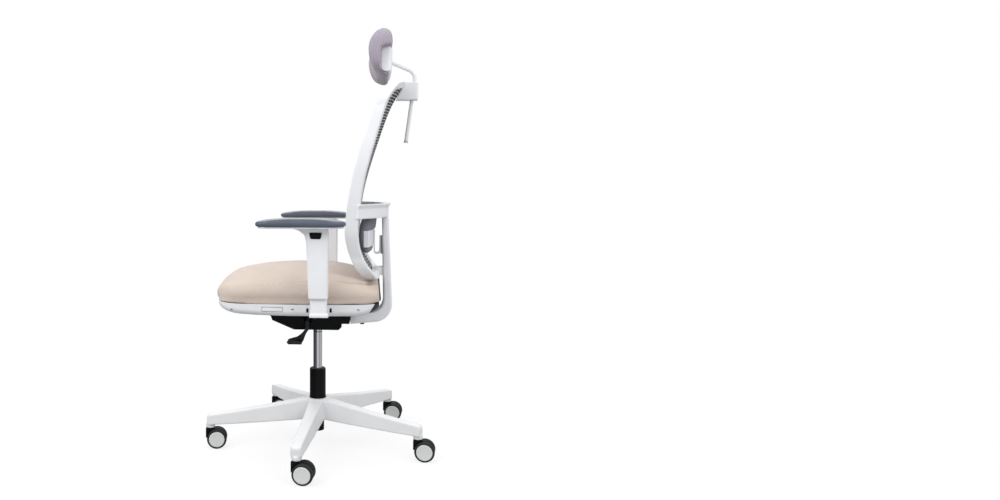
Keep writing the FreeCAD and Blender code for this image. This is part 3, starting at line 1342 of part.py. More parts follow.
def make_lumbar():
    rear = "track_front - slide_clear"
    low = "slider_bottom"
    block = box("slider_block", ("-slider_half", rear + " - slider_depth", low),
                ("slider_half", rear, low + " + slider_height"))
    tongue = box("slider_tongue_block", ("-slider_tongue", rear + " - 1", low),
                 ("slider_tongue", "track_front + 3.5", low + " + slider_height"))
    node(joined("lumbar_slider_whole", [block, tongue]), "lumbar_slider")

    # a strip bent to a U: its rear leg lies on the slider, its front leg carries the shell
    wall = size("lumbar_spring_wall")
    bend = size("lumbar_spring_bend")
    rear_face = size("track_front") - size("slide_clear") - size("slider_depth") - size("fixed_clear")
    centre = rear_face - wall - bend
    level = size("slider_bottom") + bend + wall
    rear_top = size("slider_bottom") + size("slider_height")
    front_top = size("lumbar_shell_bottom") + size("lumbar_shell_height") - 5
    outer = bend + wall
    x = -size("lumbar_spring_half")
    profile = Part.Wire([
        line((x, centre + outer, rear_top), (x, centre + outer, level)),
        arc((x, centre + outer, level), (x, centre, level - outer), (x, centre - outer, level)),
        line((x, centre - outer, level), (x, centre - outer, front_top)),
        line((x, centre - outer, front_top), (x, centre - bend, front_top)),
        line((x, centre - bend, front_top), (x, centre - bend, level)),
        arc((x, centre - bend, level), (x, centre, level - bend), (x, centre + bend, level)),
        line((x, centre + bend, level), (x, centre + bend, rear_top)),
        line((x, centre + bend, rear_top), (x, centre + outer, rear_top)),
    ])
    formed("lumbar_spring", Part.Face(profile).extrude(V(2 * size("lumbar_spring_half"), 0, 0)))

    # shell: a curved strip with ends that wrap forward round the pad
    half = size("lumbar_half") + size("lumbar_shell_overlap")
    shell_wall = size("lumbar_shell_wall")
    back_face = centre - outer - size("fixed_clear")
    z = size("lumbar_shell_bottom")
    tall = size("lumbar_shell_height")
    end = back_face - size("lumbar_shell_sag")
    nose = end - shell_wall - size("lumbar_shell_wrap")
    strip = Part.Wire([
        arc((-half, end, z), (0, back_face, z), (half, end, z)),
        line((half, end, z), (half, nose, z)),
        line((half, nose, z), (half - shell_wall, nose, z)),
        line((half - shell_wall, nose, z), (half - shell_wall, end - shell_wall, z)),
        arc((half - shell_wall, end - shell_wall, z), (0, back_face - shell_wall, z),
            (shell_wall - half, end - shell_wall, z)),
        line((shell_wall - half, end - shell_wall, z), (shell_wall - half, nose, z)),
        line((shell_wall - half, nose, z), (-half, nose, z)),
        line((-half, nose, z), (-half, end, z)),
    ])
    formed("lumbar_shell", Part.Face(strip).extrude(V(0, 0, tall)))

    track = size("track_front")
    wires = []
    for share, ahead, behind, wide in LUMBAR_STATIONS:
        level = size("lumbar_bottom") + share * size("lumbar_height")
        half_width = wide * size("lumbar_half")
        wires.append(lumbar_pad_section(level, track - ahead, track - behind, half_width))
    cushion = Part.makeLoft(wires, True, False)
    # the pad keeps clear of the shell behind it and of the shell's two ends
    clear = size("part_clear")
    foot = z - clear
    inner = half - shell_wall
    inside = end - shell_wall - clear
    far = back_face + 100
    behind_pad = Part.Wire([
        arc((-inner, inside, foot), (0, back_face - shell_wall - clear, foot), (inner, inside, foot)),
        line((inner, inside, foot), (inner, far, foot)),
        line((inner, far, foot), (-inner, far, foot)),
        line((-inner, far, foot), (-inner, inside, foot)),
    ])
    cushion = cushion.cut(Part.Face(behind_pad).extrude(V(0, 0, tall + 2 * clear)))
    free_half = inner - clear
    for left in (free_half, -free_half - 100):
        beside = Part.makeBox(100, far - nose + clear, tall + 2 * clear, V(left, nose - clear, foot))
        cushion = cushion.cut(beside)
    formed("lumbar_pad", main_solid(cushion))


# Headrest: clamp on the back frame, bent rod, pin, shell and pad

# Pad stations: share of the height, front ahead of the pivot, rear behind it, share of the half width
HEADREST_STATIONS = (
    (0.000, 18, -5, 0.62), (0.045, 28, 2, 0.74), (0.115, 39, 6, 0.86), (0.25, 50, 8, 0.96),
    (0.53, 58, 9, 1.0), (0.667, 55.5, 9.5, 0.99), (0.80, 47.5, 9, 0.965), (0.89, 37.5, 4.5, 0.92),
    (0.95, 27.5, -2.5, 0.85), (1.000, 20, -10, 0.74),
)


def head_rod_line():
    """A point on the rod's slide axis in the clamp, and the direction upward along it."""
    lean = math.radians(size("head_rod_lean"))
    point = V(0, size("head_rod_behind"), size("head_rod_level"))
    return point, V(0, math.sin(lean), math.cos(lean))


def make_headrest(frame):
    point, upward = head_rod_line()
    radius = size("head_rod_radius")
    bore = Part.makeCylinder(radius + size("running_clear"), 400, point - upward * 200, upward)
    half = size("clamp_half")
    low = size("clamp_bottom")
    high = low + size("clamp_height")
    rear = size("head_rod_behind") + radius + size("clamp_wall")
    # the front of the clamp leans with the mesh and stays behind it, up to the frame's top bar
    foot = rear - size("clamp_foot_depth")
    neck = rear - size("clamp_neck_depth")
    head = rear - size("clamp_head_depth")
    eaves = high - size("clamp_head_height")
    outline = Part.makePolygon([V(-half, y, z) for y, z in (
        (foot, low), (neck, eaves - 3), (head, eaves), (head, high), (rear, high), (rear, low), (foot, low))])
    clamp = Part.Face(outline).extrude(V(2 * half, 0, 0))
    clamp = clamp.makeFillet(size("clamp_round"), [edge for edge in clamp.Edges if edge.BoundBox.ZLength > 1
                                                   and edge.BoundBox.YMin > rear - 1])
    formed("headrest_clamp", main_solid(clamp.cut(frame).cut(bore)))

    droop = math.radians(size("head_arm_droop"))
    pivot = V(0, size("head_pivot_behind"), size("head_pivot_level"))
    outward = V(0, math.cos(droop), -math.sin(droop))
    across = pivot - point
    span = outward.y * upward.z - outward.z * upward.y
    reach = -(across.y * upward.z - across.z * upward.y) / span
    corner = pivot + outward * reach
    turn = math.pi - math.acos(outward.dot(upward))
    bend = size("head_rod_bend")
    tangent = bend * math.tan(turn / 2)
    before = corner - outward * tangent
    after = corner - upward * tangent
    inward = (before + after) * 0.5 - corner
    inward.normalize()
    centre = corner + inward * (bend / math.cos(turn / 2))
    middle = centre - inward * bend
    tail = point - upward * size("head_rod_tail")
    start = pivot + outward * (size("head_barrel_radius") - 2)
    path = Part.Wire([
        Part.LineSegment(start, before).toShape(),
        Part.Arc(before, middle, after).toShape(),
        Part.LineSegment(after, tail).toShape(),
    ])
    section = Part.Wire(Part.Circle(start, outward, radius).toShape())
    bar = path.makePipeShell([section], True, False)
    barrel_half = size("head_barrel_half")
    sideways = V(1, 0, 0)
    barrel = Part.makeCylinder(size("head_barrel_radius"), 2 * barrel_half, pivot - sideways * barrel_half,
                               sideways)
    pin_radius = size("head_pin_radius")
    hole = Part.makeCylinder(pin_radius + size("running_clear"), 4 * barrel_half,
                             pivot - sideways * 2 * barrel_half, sideways)
    formed("headrest_rod", bar.fuse(barrel).cut(hole).removeSplitter())

    cap_length = size("rod_cap_length")
    cap_end = tail - upward * (cap_length + size("fixed_clear"))
    formed("headrest_rod_cap", Part.makeCylinder(radius + 1, cap_length, cap_end, upward))

    # the barrel turns in a slot of the shell on a pin held at both ends
    slot_half = barrel_half + size("slide_clear")
    pin_half = slot_half + size("head_pin_engage")
    formed("headrest_pin", Part.makeCylinder(pin_radius, 2 * pin_half, pivot - sideways * pin_half, sideways))

    clear = size("part_clear")
    shell_low = size("head_shell_bottom")
    shell_front = size("head_shell_front")
    shell_rear = size("head_shell_rear")
    shell_half = size("head_shell_half")
    shell_tall = size("head_shell_height")

    def leading(edge):
        return along(0)(edge) and edge.BoundBox.YMax < shell_rear - 1

    shell = Part.makeBox(2 * shell_half, shell_rear - shell_front, shell_tall,
                         V(-shell_half, shell_front, shell_low))
    shell = shell.makeFillet(size("head_shell_rear_round"),
                             [edge for edge in shell.Edges if edge.BoundBox.YMin > shell_rear - 1])
    shell = shell.makeFillet(size("head_shell_front_round"), [edge for edge in shell.Edges if leading(edge)
                                                              and edge.BoundBox.YMax < shell_front + 1])
    slot_front = pivot.y - size("head_barrel_radius") - 1
    slot_low = pivot.z - size("head_slot_below")
    slot = Part.makeBox(2 * slot_half, 60, size("head_slot_below") + size("head_slot_above"),
                        V(-slot_half, slot_front, slot_low))
    reach = pin_half + size("slide_clear")
    fit = Part.makeCylinder(pin_radius + size("fixed_clear"), 2 * reach, pivot - sideways * reach, sideways)
    formed("headrest_shell", shell.cut(slot).cut(fit).removeSplitter())

    wires = []
    for share, ahead, behind, wide in HEADREST_STATIONS:
        z = size("head_pad_bottom") + share * size("head_pad_height")
        front = pivot.y - ahead
        rear = pivot.y + behind
        side = size("head_pad_half") * wide
        bow = (rear - front) / 2
        wires.append(Part.Wire([
            arc((-side, front, z), (0, front + size("head_pad_hollow"), z), (side, front, z)),
            arc((side, front, z), (side + 0.45 * bow, front + bow, z), (side, rear, z)),
            line((side, rear, z), (-side, rear, z)),
            arc((-side, rear, z), (-side - 0.45 * bow, front + bow, z), (-side, front, z)),
        ]))
    cushion = Part.makeLoft(wires, True, False)
    room = Part.makeBox(4 * shell_half, 100, shell_tall + 2 * clear,
                        V(-2 * shell_half, shell_front - clear, shell_low - clear))
    room = room.makeFillet(size("head_shell_front_round"), [edge for edge in room.Edges if along(0)(edge)
                                                            and edge.BoundBox.YMax < shell_front + 1])
    formed("headrest_pad", cushion.cut(room))


# The whole chair
make_base()
make_caster_stems()
make_gas_lift()
for leg in range(int(size("leg_count"))):
    make_caster(leg)
make_mechanism()
make_tilt_spring()
make_lever()
make_seat()
make_cushion()
make_arms()
frame_shape, mesh_room = make_back()
make_back_carriers(frame_shape, mesh_room)
doc.recompute()
make_track_and_bracket(frame_shape)
make_lumbar()
make_headrest(frame_shape)
doc.recompute()

for thing in doc.Objects:
    if "Invalid" in thing.State or "Error" in thing.State:
        raise RuntimeError("%s did not build: %s" % (thing.Name, thing.State))
os.makedirs("parts", exist_ok=True)
for thing in NODES:
    shape = thing.Shape
    if shape.isNull() or not shape.isValid() or shape.Volume <= 0:
        raise RuntimeError("%s has no valid shape" % thing.Label)
    shape.exportStep("parts/%s.step" % thing.Label)
    span = shape.BoundBox
    print("%-24s solids %d volume %10.0f  x %.1f %.1f  y %.1f %.1f  z %.1f %.1f" % (
        thing.Label, len(shape.Solids), shape.Volume, span.XMin, span.XMax, span.YMin, span.YMax,
        span.ZMin, span.ZMax))
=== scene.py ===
import json
import math

import bmesh
import bpy
import numpy as np
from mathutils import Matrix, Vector
from mathutils.bvhtree import BVHTree

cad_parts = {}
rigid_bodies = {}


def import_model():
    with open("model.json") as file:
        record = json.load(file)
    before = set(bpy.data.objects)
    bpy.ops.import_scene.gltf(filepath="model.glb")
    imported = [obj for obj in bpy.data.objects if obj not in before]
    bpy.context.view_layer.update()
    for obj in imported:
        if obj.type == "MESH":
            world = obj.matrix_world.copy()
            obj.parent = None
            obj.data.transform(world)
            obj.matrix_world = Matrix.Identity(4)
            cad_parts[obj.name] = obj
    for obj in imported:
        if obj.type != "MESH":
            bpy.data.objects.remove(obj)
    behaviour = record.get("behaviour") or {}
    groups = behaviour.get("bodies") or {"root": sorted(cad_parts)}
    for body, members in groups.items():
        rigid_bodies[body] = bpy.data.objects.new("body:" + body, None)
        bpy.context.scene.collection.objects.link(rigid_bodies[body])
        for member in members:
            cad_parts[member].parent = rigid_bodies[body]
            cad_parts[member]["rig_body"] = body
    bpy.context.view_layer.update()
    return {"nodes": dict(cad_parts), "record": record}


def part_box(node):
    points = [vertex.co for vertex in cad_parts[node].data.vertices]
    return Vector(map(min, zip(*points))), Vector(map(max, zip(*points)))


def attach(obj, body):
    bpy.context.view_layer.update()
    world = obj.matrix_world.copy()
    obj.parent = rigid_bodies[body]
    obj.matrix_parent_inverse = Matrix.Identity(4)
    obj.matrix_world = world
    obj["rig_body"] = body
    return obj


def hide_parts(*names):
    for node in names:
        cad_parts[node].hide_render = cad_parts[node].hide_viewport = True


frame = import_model()
nodes = frame["nodes"]
scene = bpy.context.scene

# Metres throughout. +Z is up, the sitter faces -Y and +X is the sitter's left.

# Camera, as the photograph was taken
CAMERA_DISTANCE = 2.3291
CAMERA_AZIMUTH = math.radians(4.0)
CAMERA_HEIGHT = 0.8125
CAMERA_PITCH = math.radians(5.0026)
CAMERA_LENS_MM = 27.213
CAMERA_SENSOR_MM = 36.0
CAMERA_SHIFT = 0.1822

# Lamps, as place, width and power in watts, and the point they face
LAMPS = {
    "key_lamp": ((2.0, -1.6, 2.6), 2.0, 34.0),
    "rear_lamp": ((1.8, 2.2, 2.2), 2.0, 30.0),
    "front_lamp": ((0.7, -2.8, 1.7), 1.6, 14.0),
    "far_lamp": ((-2.4, -0.4, 2.2), 2.0, 20.0),
}
CHAIR_MIDDLE = (0.0, 0.0, 0.55)

# Soft light of the studio: its strength near the floor and overhead, and the heights on a round sky between
LOW_LIGHT = 0.24
HIGH_LIGHT = 1.08
SKY_LOW = -0.2
SKY_HIGH = 0.9

# How bright the studio is in reflections, from the front of the chair at 0 to its back at 1
WALLS = [(0.001, 0.10), (0.22, 0.12), (0.40, 0.65), (0.50, 1.0), (0.62, 0.85), (0.85, 0.45), (0.999, 0.55)]

# Floor: what it gives back to the chair, what it shows, how far it reaches, and where the shadow fades
FLOOR_BOUNCE = (0.36, 0.36, 0.36, 1.0)
FLOOR_SHOWN = (0.92, 0.92, 0.92, 1.0)
FLOOR_REACH = 30.0
SHADOW_REACH = 1.2
SHADOW_FADE = 0.8
SHADOW_GLOW = 0.8
WHITE = (1.0, 1.0, 1.0, 1.0)

# Star base: its legs, the length of the round nose at each end, and how square the nose is
LEG_COUNT = 5
LEG_FIRST_ANGLE = math.radians(-6)
TIP_NOSE = 0.014
TIP_POWER = 2.6

# Casters, with the turn of each in degrees
CASTER_TURNS = (-8, -8, -8, -8, 8)
WHEEL_WIDTH = 0.017
DISC_RADIUS = 0.0238
WHEEL_SEGMENTS = 72

# Dark groove round the gas lift's column
GROOVE_HEIGHT = 0.355
GROOVE_HALF = 0.0012
GROOVE_SOFT = 0.0004

# Arm post: its round corners, how high its foot is and how far the foot stands out from it
POST_ROUND = 0.005
FOOT_HEIGHT = 0.012
FOOT_OUT = 0.002
FOOT_FRONT = 0.002
FOOT_REAR = 0.004

# Arm sleeve: its outer wall, how far the wall may bulge round the button, and how thick the button is left
SLEEVE_WALL = 0.0072
WALL_BULGE = 0.002
BUTTON_EDGE = 0.004
BUTTON_LEFT = 0.0032

# Hard mouldings, with the size of the mould's detail and how often its edges are eased
MOULDINGS = {
    "star_base": (0.0020, 7),
    "back_frame": (0.0020, 9),
    "back_yoke": (0.0016, 7),
    "back_upright": (0.0020, 9),
    "lower_bracket": (0.0010, 6),
    "headrest_clamp": (0.0012, 10),
    "headrest_shell": (0.0016, 10),
    "lumbar_shell": (0.0011, 7),
    "lumbar_spring": (0.0010, 3),
    "lumbar_slider": (0.0009, 4),
    "height_lever": (0.0011, 6),
    "depth_paddle": (0.0008, 4),
}
for side in ("left", "right"):
    MOULDINGS["arm_stem_" + side] = (0.0013, 8)
    MOULDINGS["arm_sleeve_" + side] = (0.0013, 9)
    MOULDINGS["arm_button_" + side] = (0.0006, 4)
    MOULDINGS["arm_plate_" + side] = (0.0014, 4)
HOOD_MOULDING = (0.0011, 5)
EASE_STRENGTH = 0.5

# Lines up the rear corners of the seat's shell and cushion, as (behind the column, above the floor), behind
# which black is painted as the shade in the gaps there
SHELL_SHADE_LINE = [(0.163, 0.4570), (0.187, 0.4960)]
CUSHION_SHADE_LINE = [(0.190, 0.470), (0.185, 0.535)]
LINE_SOFT = 0.0007

# Screws in the seat shell's sides, and black blocks that paint the shadow at the ends of the arm's slot, as
# (behind the column, above the floor), and their blocks
SHELL_SCREWS = [(-0.226, 0.4605), (-0.053, 0.464), (0.129, 0.4635)]
SCREW_SIZE = (0.0016, 0.0080, 0.0040)
SCREW_EDGE = 0.0007
SLOT_SHADOWS = [(-0.0115, 0.4615), (0.0530, 0.4620)]
SLOT_SHADOW_SIZE = (0.0012, 0.0065, 0.0120)
SLOT_SHADOW_EDGE = 0.0005

# Padded pieces, with the size of the skin's detail and how often it is eased
CUSHION_SKIN = (0.0054, 3)
HEADREST_SKIN = (0.0035, 4)
LUMBAR_SKIN = (0.0035, 4)
ARM_PAD_SKIN = (0.0016, 8)
CLOTH_FRAMES = 20

# The cushion's lower edge, which swells out over the shell's rim between two places behind the column
RIM_SWELL = 0.010
RIM_SWELL_HEIGHT = 0.016
RIM_SWELL_START = -0.275
RIM_START_BLEND = 0.02
RIM_SWELL_END = 0.190
RIM_END_BLEND = 0.04
RIM_DROP = 0.002

# Grooves in the padded pieces' sides, as (behind the column, above the floor), with depths and a width
SEAT_CREASE = [
    (0.035, 0.545), (0.063, 0.541), (0.091, 0.538),
    (0.125, 0.533), (0.156, 0.527), (0.185, 0.518),
]
SEAT_CREASE_DEPTHS = [0.0, 0.003, 0.008, 0.013, 0.016, 0.013]
SEAT_CREASE_WIDTH = 0.0052
HEAD_FOLD = [(0.175, 1.156), (0.181, 1.142), (0.190, 1.130), (0.201, 1.123)]
HEAD_FOLD_DEPTHS = [0.0, 0.002, 0.006, 0.007]
HEAD_FOLD_WIDTH = 0.0045
HEAD_SEAM = [(0.203, 1.247), (0.183, 1.228), (0.170, 1.208), (0.168, 1.186), (0.169, 1.164)]
HEAD_SEAM_DEPTHS = [0.0012] * len(HEAD_SEAM)
HEAD_SEAM_WIDTH = 0.0022

# Ribs of the headrest's cloth: their middle (behind the column, above the floor), and so many in so far
HEAD_RIBS = (0.255, 1.185, 0.030, 4)

# Woven back: its yarns, the fine knit between them, and the sheet's grid, rim and depth in the CAD sheet
NET_PITCH = 0.0080
YARN_RADIUS = 0.0013
YARN_LIFT = 0.0004
YARN_SLANT = math.radians(4)
KNIT_PITCH = 0.0031
SHEET_ROWS = 96
SHEET_COLUMNS = 72
SHEET_RIM = 0.002
SHEET_SINK = 0.001

# Where rays start: ahead of the back, and beside the chair
RAY_AHEAD = 0.1
RAY_BESIDE = 0.5


# Shader maths

class Wire:
    """A shader value that adds Math nodes when it is used in an expression."""

    def __init__(self, paint, socket):
        self.paint = paint
        self.socket = socket

    def maths(self, operation, *others):
        values = dict(enumerate((self,) + others))
        return self.paint.node("ShaderNodeMath", {"operation": operation}, values)

    def beside(self, name):
        """Another output of the same node."""
        return Wire(self.paint, self.socket.node.outputs[name])

    def __add__(self, other):
        return self.maths("ADD", other)

    def __mul__(self, other):
        return self.maths("MULTIPLY", other)

    def __sub__(self, other):
        return self.maths("SUBTRACT", other)

    def __rsub__(self, other):
        return self * -1 + other

    def __truediv__(self, other):
        return self.maths("DIVIDE", other)

    def __pow__(self, other):
        return self.maths("POWER", other)

    def sine(self):
        return self.maths("SINE")

    def cosine(self):
        return self.maths("COSINE")

    def size(self):
        return self.maths("ABSOLUTE")

    def least(self, other):
        return self.maths("MINIMUM", other)

    def most(self, other):
        return self.maths("MAXIMUM", other)

    def over(self, edge, soft):
        """0 below an edge and 1 above it, with a soft step."""
        return self.paint.node("ShaderNodeMapRange", {"interpolation_type": "SMOOTHSTEP"},
                               {"Value": self, "From Min": edge - soft, "From Max": edge + soft})


class Paint:
    """A new material, or the world, and the nodes in it."""

    def __init__(self, name, world=None):
        self.material = world or bpy.data.materials.new(name)
        self.material.use_nodes = True
        self.tree = self.material.node_tree
        self.tree.nodes.clear()

    def node(self, kind, settings=None, values=None, output=0):
        made = self.tree.nodes.new(kind)
        for key, value in (settings or {}).items():
            setattr(made, key, value)
        for key, value in (values or {}).items():
            self.feed(made.inputs[key], value)
        if made.outputs:
            return Wire(self, made.outputs[output])

    def feed(self, socket, value):
        if isinstance(value, Wire):
            self.tree.links.new(value.socket, socket)
        else:
            socket.default_value = value

    def place(self):
        """Object coordinates of the surface point."""
        return self.node("ShaderNodeTexCoord", output="Object")

    def cloth_place(self):
        """The piece's own flat coordinates, in metres."""
        return self.node("ShaderNodeUVMap", {"uv_map": "Flat"})

    def split(self, vector):
        return [self.node("ShaderNodeSeparateXYZ", None, {"Vector": vector}, axis) for axis in range(3)]

    def noise(self, scale, detail):
        return self.node("ShaderNodeTexNoise", None,
                         {"Vector": self.place(), "Scale": scale, "Detail": detail})

    def mix(self, share, first, second):
        """A colour between two."""
        return self.node("ShaderNodeMix", {"data_type": "RGBA"},
                         {"Factor": share, 6: first, 7: second}, 2)

    def bump(self, height, strength, distance):
        return self.node("ShaderNodeBump", None,
                         {"Height": height, "Strength": strength, "Distance": distance})

    def surface(self, **values):
        """The finished surface. Names are the shader's own, with _ for a space."""
        inputs = {key.replace("_", " "): value for key, value in values.items()}
        shader = self.node("ShaderNodeBsdfPrincipled", None, inputs)
        self.node("ShaderNodeOutputMaterial", None, {"Surface": shader})
        return self.material

    def walls(self, share):
        """How bright the studio is in a reflection, from front to back."""
        ramp = self.node("ShaderNodeValToRGB", None, {0: share})
        for place, strength in WALLS:
            ramp.socket.node.color_ramp.elements.new(place).color = (strength, strength, strength, 1.0)
        return ramp


def shade(*sRGB):
    """A colour as seen on a screen, 0 to 255, as the shader counts it."""
    linear = [((c / 255 + 0.055) / 1.055) ** 2.4 if c > 10 else c / 255 / 12.92 for c in sRGB]
    return (*linear, 1.0)


# Finishes

def behind_line(y, z, line):
    """1 behind a line up a piece's side and 0 ahead of it."""
    (y_low, z_low), (y_high, z_high) = line
    lean = (y_high - y_low) / (z_high - z_low)
    return (y - (z - z_low) * lean).over(y_low, LINE_SOFT)


def moulded_plastic(name, light, dark, rough, grain, shine=0.5, shade_line=None):
    """Moulded plastic with a fine spark-eroded grain and a faint cloudiness.

    Black painted shade, where it has one, lies behind a line on its side and stands for the shaded gap at
    the rear.
    """
    paint = Paint(name)
    cloud = paint.noise(9.0, 3.0)
    fine = paint.noise(1400.0, 1.0)
    colour = paint.mix(cloud.over(0.5, 0.25), dark, light)
    if shade_line:
        x, y, z = paint.split(paint.place())
        # painted shade: black behind the line stands for the shaded gap at the shell's rear
        colour = paint.mix(behind_line(y, z, shade_line), colour, shade(18, 20, 23))
    return paint.surface(Base_Color=colour, Roughness=cloud * 0.10 + (rough - 0.05),
                         Specular_IOR_Level=shine, Normal=paint.bump(fine, grain, 0.0002))


def woven_cloth(name, light, dark, thread, depth, fuzz, ribs=None, shadow_line=None):
    """Close woven cloth: a three-way weave of fine threads with a melange of two shades.

    Ribs, where it has them, run round a middle (behind the column, above the floor), so many in so far.
    Black painted shade, where it has one, lies behind a line on its side and stands for the shaded gap at
    the rear.
    """
    paint = Paint(name)
    x, y, z = paint.split(paint.place())
    turn = 2 * math.pi / thread
    a, b, c = x * turn, y * turn, z * turn
    weave = a.sine() * b.cosine() + b.sine() * c.cosine() + c.sine() * a.cosine()
    melange = paint.noise(700.0, 4.0)
    broad = paint.noise(14.0, 2.0)
    share = (weave * 0.20 + melange * 0.9 + broad * 0.35 - 0.15).over(0.45, 0.5)
    height = weave * 0.6 + melange
    if ribs:
        behind, above, far, many = ribs
        out = ((y - behind) ** 2.0 + (z - above) ** 2.0) ** 0.5
        rib = (out * (2 * math.pi * many / far)).sine()
        share = share + rib * 0.16
        height = height + rib * 0.8
    colour = paint.mix(share, dark, light)
    if shadow_line:
        # painted shade: black behind the line stands for the shaded gap at the cushion's rear
        colour = paint.mix(behind_line(y, z, shadow_line), colour, shade(20, 21, 24))
    return paint.surface(Base_Color=colour, Roughness=0.92 - melange * 0.12,
                         Sheen_Weight=fuzz, Sheen_Roughness=0.5, Specular_IOR_Level=0.25,
                         Normal=paint.bump(height, depth, thread * 0.25))


def arm_pad_skin():
    """Soft foam skin with a leather-like pebble."""
    paint = Paint("arm_pad_skin")
    pebble = paint.node("ShaderNodeTexVoronoi", {"feature": "DISTANCE_TO_EDGE"},
                        {"Vector": paint.place(), "Scale": 420.0})
    cloud = paint.noise(22.0, 2.0)
    colour = paint.mix(cloud.over(0.5, 0.3), shade(80, 88, 102), shade(90, 98, 112))
    return paint.surface(Base_Color=colour, Roughness=cloud * 0.12 + 0.40,
                         Specular_IOR_Level=0.5, Sheen_Weight=0.10, Sheen_Roughness=0.4,
                         Normal=paint.bump(pebble.least(0.25), 0.18, 0.0004))


def bright_steel():
    """Chromed steel with faint turning marks and, near the top of the column, a dark groove."""
    paint = Paint("bright_steel")
    z = paint.split(paint.place())[2]
    marks = paint.node("ShaderNodeTexNoise", {"noise_dimensions": "1D"},
                       {"W": z, "Scale": 2600.0, "Detail": 1.0})
    smear = paint.noise(40.0, 2.0)
    groove = (z - GROOVE_HEIGHT).size().over(GROOVE_HALF, GROOVE_SOFT)
    colour = paint.mix(groove, shade(58, 59, 63), shade(203, 205, 210))
    return paint.surface(Base_Color=colour, Metallic=1.0,
                         Roughness=marks * 0.08 + smear * 0.10 + 0.10,
                         Normal=paint.bump(marks, 0.05, 0.0001))


def dark_steel(name, colour, rough, metal, shine=0.5):
    """Painted or oiled steel."""
    paint = Paint(name)
    cloud = paint.noise(60.0, 3.0)
    fine = paint.noise(900.0, 2.0)
    tint = paint.mix(cloud.over(0.5, 0.3), colour, tuple(1.25 * c for c in colour[:3]) + (1.0,))
    return paint.surface(Base_Color=tint, Metallic=metal, Roughness=cloud * 0.16 + (rough - 0.08),
                         Specular_IOR_Level=shine, Normal=paint.bump(fine, 0.08, 0.0002))


def net_ground():
    """Fine dark knit between the bold yarns, open in small eyelets."""
    paint = Paint("net_ground")
    u, v = paint.split(paint.cloth_place())[:2]
    turn = 2 * math.pi / KNIT_PITCH
    across = (u * turn).sine()
    along = (v * turn).sine()
    eyelet = (across * along).size()
    thread = (across * across + along * along) * 0.5
    colour = paint.mix(paint.noise(260.0, 2.0).over(0.55, 0.2), shade(20, 21, 23), shade(44, 45, 48))
    hole = (eyelet - thread * 0.2).over(0.52, 0.05)
    return paint.surface(Base_Color=colour, Roughness=0.8, Alpha=1 - hole, Specular_IOR_Level=0.2)


def net_yarn(name, colour, second):
    """Round polyester yarn with a twist along it."""
    paint = Paint(name)
    x, y, z = paint.split(paint.place())
    twist = ((x + z) * 4200.0).sine()
    tint = paint.mix(twist * 0.5 + 0.5, colour, second)
    return paint.surface(Base_Color=tint, Roughness=0.62, Specular_IOR_Level=0.35,
                         Normal=paint.bump(twist, 0.2, 0.0003))


FINISH = {
    "white_plastic": moulded_plastic("white_moulding", shade(242, 244, 247), shade(237, 239, 243),
                                     0.42, 0.05),
    "pale_grey_plastic": moulded_plastic("pale_grey_moulding", shade(206, 209, 212), shade(198, 201, 205),
                                         0.45, 0.06),
    "black_plastic": moulded_plastic("black_moulding", shade(14, 16, 19), shade(10, 12, 14), 0.5,
                                     0.12, 0.12),
    "black_steel": dark_steel("black_painted_tube", shade(15, 15, 17), 0.42, 0.0, 0.10),
    "polished_steel": bright_steel(),
    "spring_steel": dark_steel("oiled_spring_steel", shade(150, 150, 154), 0.35, 1.0),
    # the beige cloth carries black painted shade behind its rear line
    "beige_fabric": woven_cloth("beige_cloth", shade(220, 206, 195), shade(195, 178, 166), 0.0011, 0.35,
                                0.15, shadow_line=CUSHION_SHADE_LINE),
    "lavender_fabric": woven_cloth("lavender_cloth", shade(192, 183, 197), shade(154, 145, 160), 0.0016,
                                   0.5, 0.30, ribs=HEAD_RIBS),
    "plum_grey_fabric": woven_cloth("plum_grey_cloth", shade(146, 143, 156), shade(104, 101, 113), 0.0016,
                                    0.5, 0.15),
    "blue_grey_pad": arm_pad_skin(),
    "woven_mesh": net_ground(),
    "grey_wheel": moulded_plastic("wheel_disc_grey", shade(221, 224, 222), shade(213, 216, 214),
                                  0.42, 0.10),
}
TREAD = moulded_plastic("wheel_tread_black", shade(38, 39, 40), shade(28, 29, 30), 0.62, 0.10, 0.3)
DARK_YARN = net_yarn("dark_yarn", shade(26, 27, 29), shade(44, 45, 48))
PALE_YARN = net_yarn("pale_yarn", shade(244, 245, 247), shade(222, 223, 226))

SLOT = {part["node"]: part["material_slot"] for part in frame["record"]["subparts"]}
# A greyer copy of the white moulding for the seat shell and paddle: partly the shell's own pale grey,
# partly painted shade for its place under the cushion
SHELL_SHADED_WHITE = moulded_plastic("seat_shell_shaded_moulding", shade(234, 235, 238), shade(229, 230, 233),
                              0.42, 0.05, shade_line=SHELL_SHADE_LINE)
OWN_FINISH = {
    "seat_shell": SHELL_SHADED_WHITE,
    "depth_paddle": SHELL_SHADED_WHITE,
    "star_base": moulded_plastic("base_moulding", shade(233, 234, 236), shade(228, 229, 231),
                                 0.44, 0.05),
    "height_lever": moulded_plastic("lever_moulding", shade(38, 40, 43), shade(30, 32, 35),
                                    0.5, 0.12, 0.3),
}


def finish_of(node):
    """A node's own finish, or the one of its slot."""
    return OWN_FINISH.get(node) or FINISH[SLOT[node]]


for name, thing in nodes.items():
    thing.data.materials.clear()
    thing.data.materials.append(finish_of(name))


# Mesh tools

def new_piece(name, mesh, *materials):
    """A mesh as a piece in the scene, with more materials on it."""
    piece = bpy.data.objects.new(name, mesh)
    scene.collection.objects.link(piece)
    for material in materials:
        mesh.materials.append(material)
    return piece


